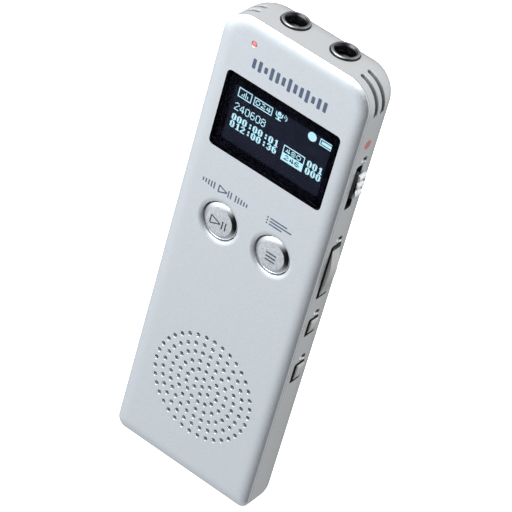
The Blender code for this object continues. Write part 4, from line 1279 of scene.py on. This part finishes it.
# ---- stage, light and camera ----
AIM = Vector((3.54, FRONT_Y + 0.05, 61.63)) * MM
AZIMUTH, ELEVATION, ROLL = math.radians(26.848), math.radians(36.3705), math.radians(-16.445)
CAMERA_AWAY, LENS, SENSOR = 630.7 * MM, 216.11, 36.0
KEY_TOWARDS = Vector((-0.30, -0.55, 0.78)).normalized()
KEY_AWAY, KEY_SIZE, KEY_POWER = 0.3, 0.25, 1.1      # metres, metres and watts
AMBIENT = 0.54
LOBES = (
    ((-0.55, -0.46, 0.70), 76.0, 17.0, 1.3),      # big soft source, above and to the left of the front
    ((0.56, -0.82, -0.08), 62.0, 25.0, -0.53),    # dark screen on the right of the camera
    ((-0.45, -0.80, -0.40), 34.0, 8.0, 0.14),     # lifts the upper half of the front
    ((0.60, 0.78, 0.20), 66.0, 14.0, 0.75),       # behind on the right: lights the long side
    ((-0.90, -0.38, -0.10), 40.0, 10.0, 0.15),    # on the left: lifts the left edge
    ((-0.20, 0.72, 0.60), 50.0, 15.0, -0.1),      # darker behind the end with the jacks
    ((-0.30, 0.75, -0.59), 45.0, 15.0, -0.35),    # darker below and behind
)
TABLE_REACH, TABLE_Z = 4000.0, -0.02


def camera():
    """Looks down at the front from the right, turned so that the recorder leans to the left."""
    back = Vector((math.sin(AZIMUTH) * math.cos(ELEVATION), -math.cos(AZIMUTH) * math.cos(ELEVATION),
                   math.sin(ELEVATION)))
    right = (-back).cross(Vector((0, 0, 1))).normalized()
    up = right.cross(-back) * math.cos(ROLL) + right * math.sin(ROLL)
    across = (-back).cross(up)
    data = bpy.data.cameras.new("camera")
    data.lens, data.sensor_width = LENS, SENSOR
    data.clip_start, data.clip_end = 0.05, 20.0
    made = bpy.data.objects.new("camera", data)
    turn = Matrix((across, up, back)).transposed().to_4x4()
    made.matrix_world = Matrix.Translation(AIM + back * CAMERA_AWAY) @ turn
    bpy.context.scene.collection.objects.link(made)
    bpy.context.scene.camera = made


def key_light():
    """A square softbox near the front, above and to the left, that faces the middle of the recorder."""
    data = bpy.data.lights.new("key_light", "AREA")
    data.shape = "SQUARE"
    data.size = KEY_SIZE
    data.energy = KEY_POWER
    made = bpy.data.objects.new("key_light", data)
    made.location = Vector((0.0, 0.0, LENGTH / 2)) * MM + KEY_TOWARDS * KEY_AWAY
    made.rotation_mode = "QUATERNION"
    made.rotation_quaternion = KEY_TOWARDS.to_track_quat("Z", "Y")
    bpy.context.scene.collection.objects.link(made)


def studio():
    """A dome of soft light with brighter and darker parts, white where the camera sees it."""
    world = bpy.data.worlds.new("studio")
    bpy.context.scene.world = world
    world.use_nodes = True
    nodes, links = world.node_tree.nodes, world.node_tree.links
    nodes.clear()
    direction = nodes.new("ShaderNodeTexCoord").outputs["Generated"]

    def lobe(towards, wide, narrow, strength, total):
        """Adds a soft-edged round patch of light; wide and narrow are its edges in degrees."""
        facing = nodes.new("ShaderNodeVectorMath")
        facing.operation = "DOT_PRODUCT"
        facing.inputs[1].default_value = Vector(towards).normalized()
        links.new(direction, facing.inputs[0])
        spread = nodes.new("ShaderNodeMapRange")
        spread.interpolation_type = "SMOOTHSTEP"
        spread.inputs["From Min"].default_value = math.cos(math.radians(wide))
        spread.inputs["From Max"].default_value = math.cos(math.radians(narrow))
        spread.inputs["To Min"].default_value = 0.0
        spread.inputs["To Max"].default_value = strength
        links.new(facing.outputs["Value"], spread.inputs["Value"])
        summed = nodes.new("ShaderNodeMath")
        summed.operation = "ADD"
        links.new(spread.outputs["Result"], summed.inputs[0])
        if isinstance(total, float):
            summed.inputs[1].default_value = total
        else:
            links.new(total, summed.inputs[1])
        return summed.outputs[0]

    total = AMBIENT
    for patch in LOBES:
        total = lobe(*patch, total)
    glow = nodes.new("ShaderNodeBackground")
    glow.inputs["Color"].default_value = (0.965, 0.985, 1.0, 1.0)
    links.new(total, glow.inputs["Strength"])
    seen = nodes.new("ShaderNodeBackground")
    seen.inputs["Color"].default_value = (1.0, 1.0, 1.0, 1.0)
    seen.inputs["Strength"].default_value = 1.0
    choose = nodes.new("ShaderNodeMixShader")
    links.new(nodes.new("ShaderNodeLightPath").outputs["Is Camera Ray"], choose.inputs["Fac"])
    links.new(glow.outputs["Background"], choose.inputs[1])
    links.new(seen.outputs["Background"], choose.inputs[2])
    links.new(choose.outputs["Shader"], nodes.new("ShaderNodeOutputWorld").inputs["Surface"])
    bpy.context.scene.view_settings.view_transform = "Standard"


def floor():
    """A plain white table top; bright enough to wash out all but the contact shadow."""
    work = bmesh.new()
    outline = ((-1, -1), (1, -1), (1, 1), (-1, 1))
    work.faces.new([work.verts.new((x * TABLE_REACH, y * TABLE_REACH, TABLE_Z)) for x, y in outline])
    made = tool(work)
    made.name = made.data.name = "floor"
    paint = Finish("floor_white", (0.8, 0.8, 0.8), 0.0, 0.9, Emission_Strength=0.85)
    paint.shader.inputs["Emission Color"].default_value = (1.0, 1.0, 1.0, 1.0)
    paint.tint(paint.noise(40.0, 2.0), 0.99, 1.01)
    made.data.materials.append(paint.material)
    made.visible_glossy = False
    made.visible_diffuse = False
    made.visible_transmission = False


camera()
studio()
key_light()
finish_carried_nodes()
front_panel()
rear_case()
battery_cover()
display()
front_buttons()
record_lamp()
level_bars()
labels()
speaker_cloth()
jacks()
mic_screens()
side_keys()
volume_rocker()
ribbed_knob("record_slider", 3, 1, "record_knob")
ribbed_knob("hold_slider", 4, -1, "hold_knob")
slot_shade_sheets()
usb_port()
memory_card()
cells()
springs()
floor()
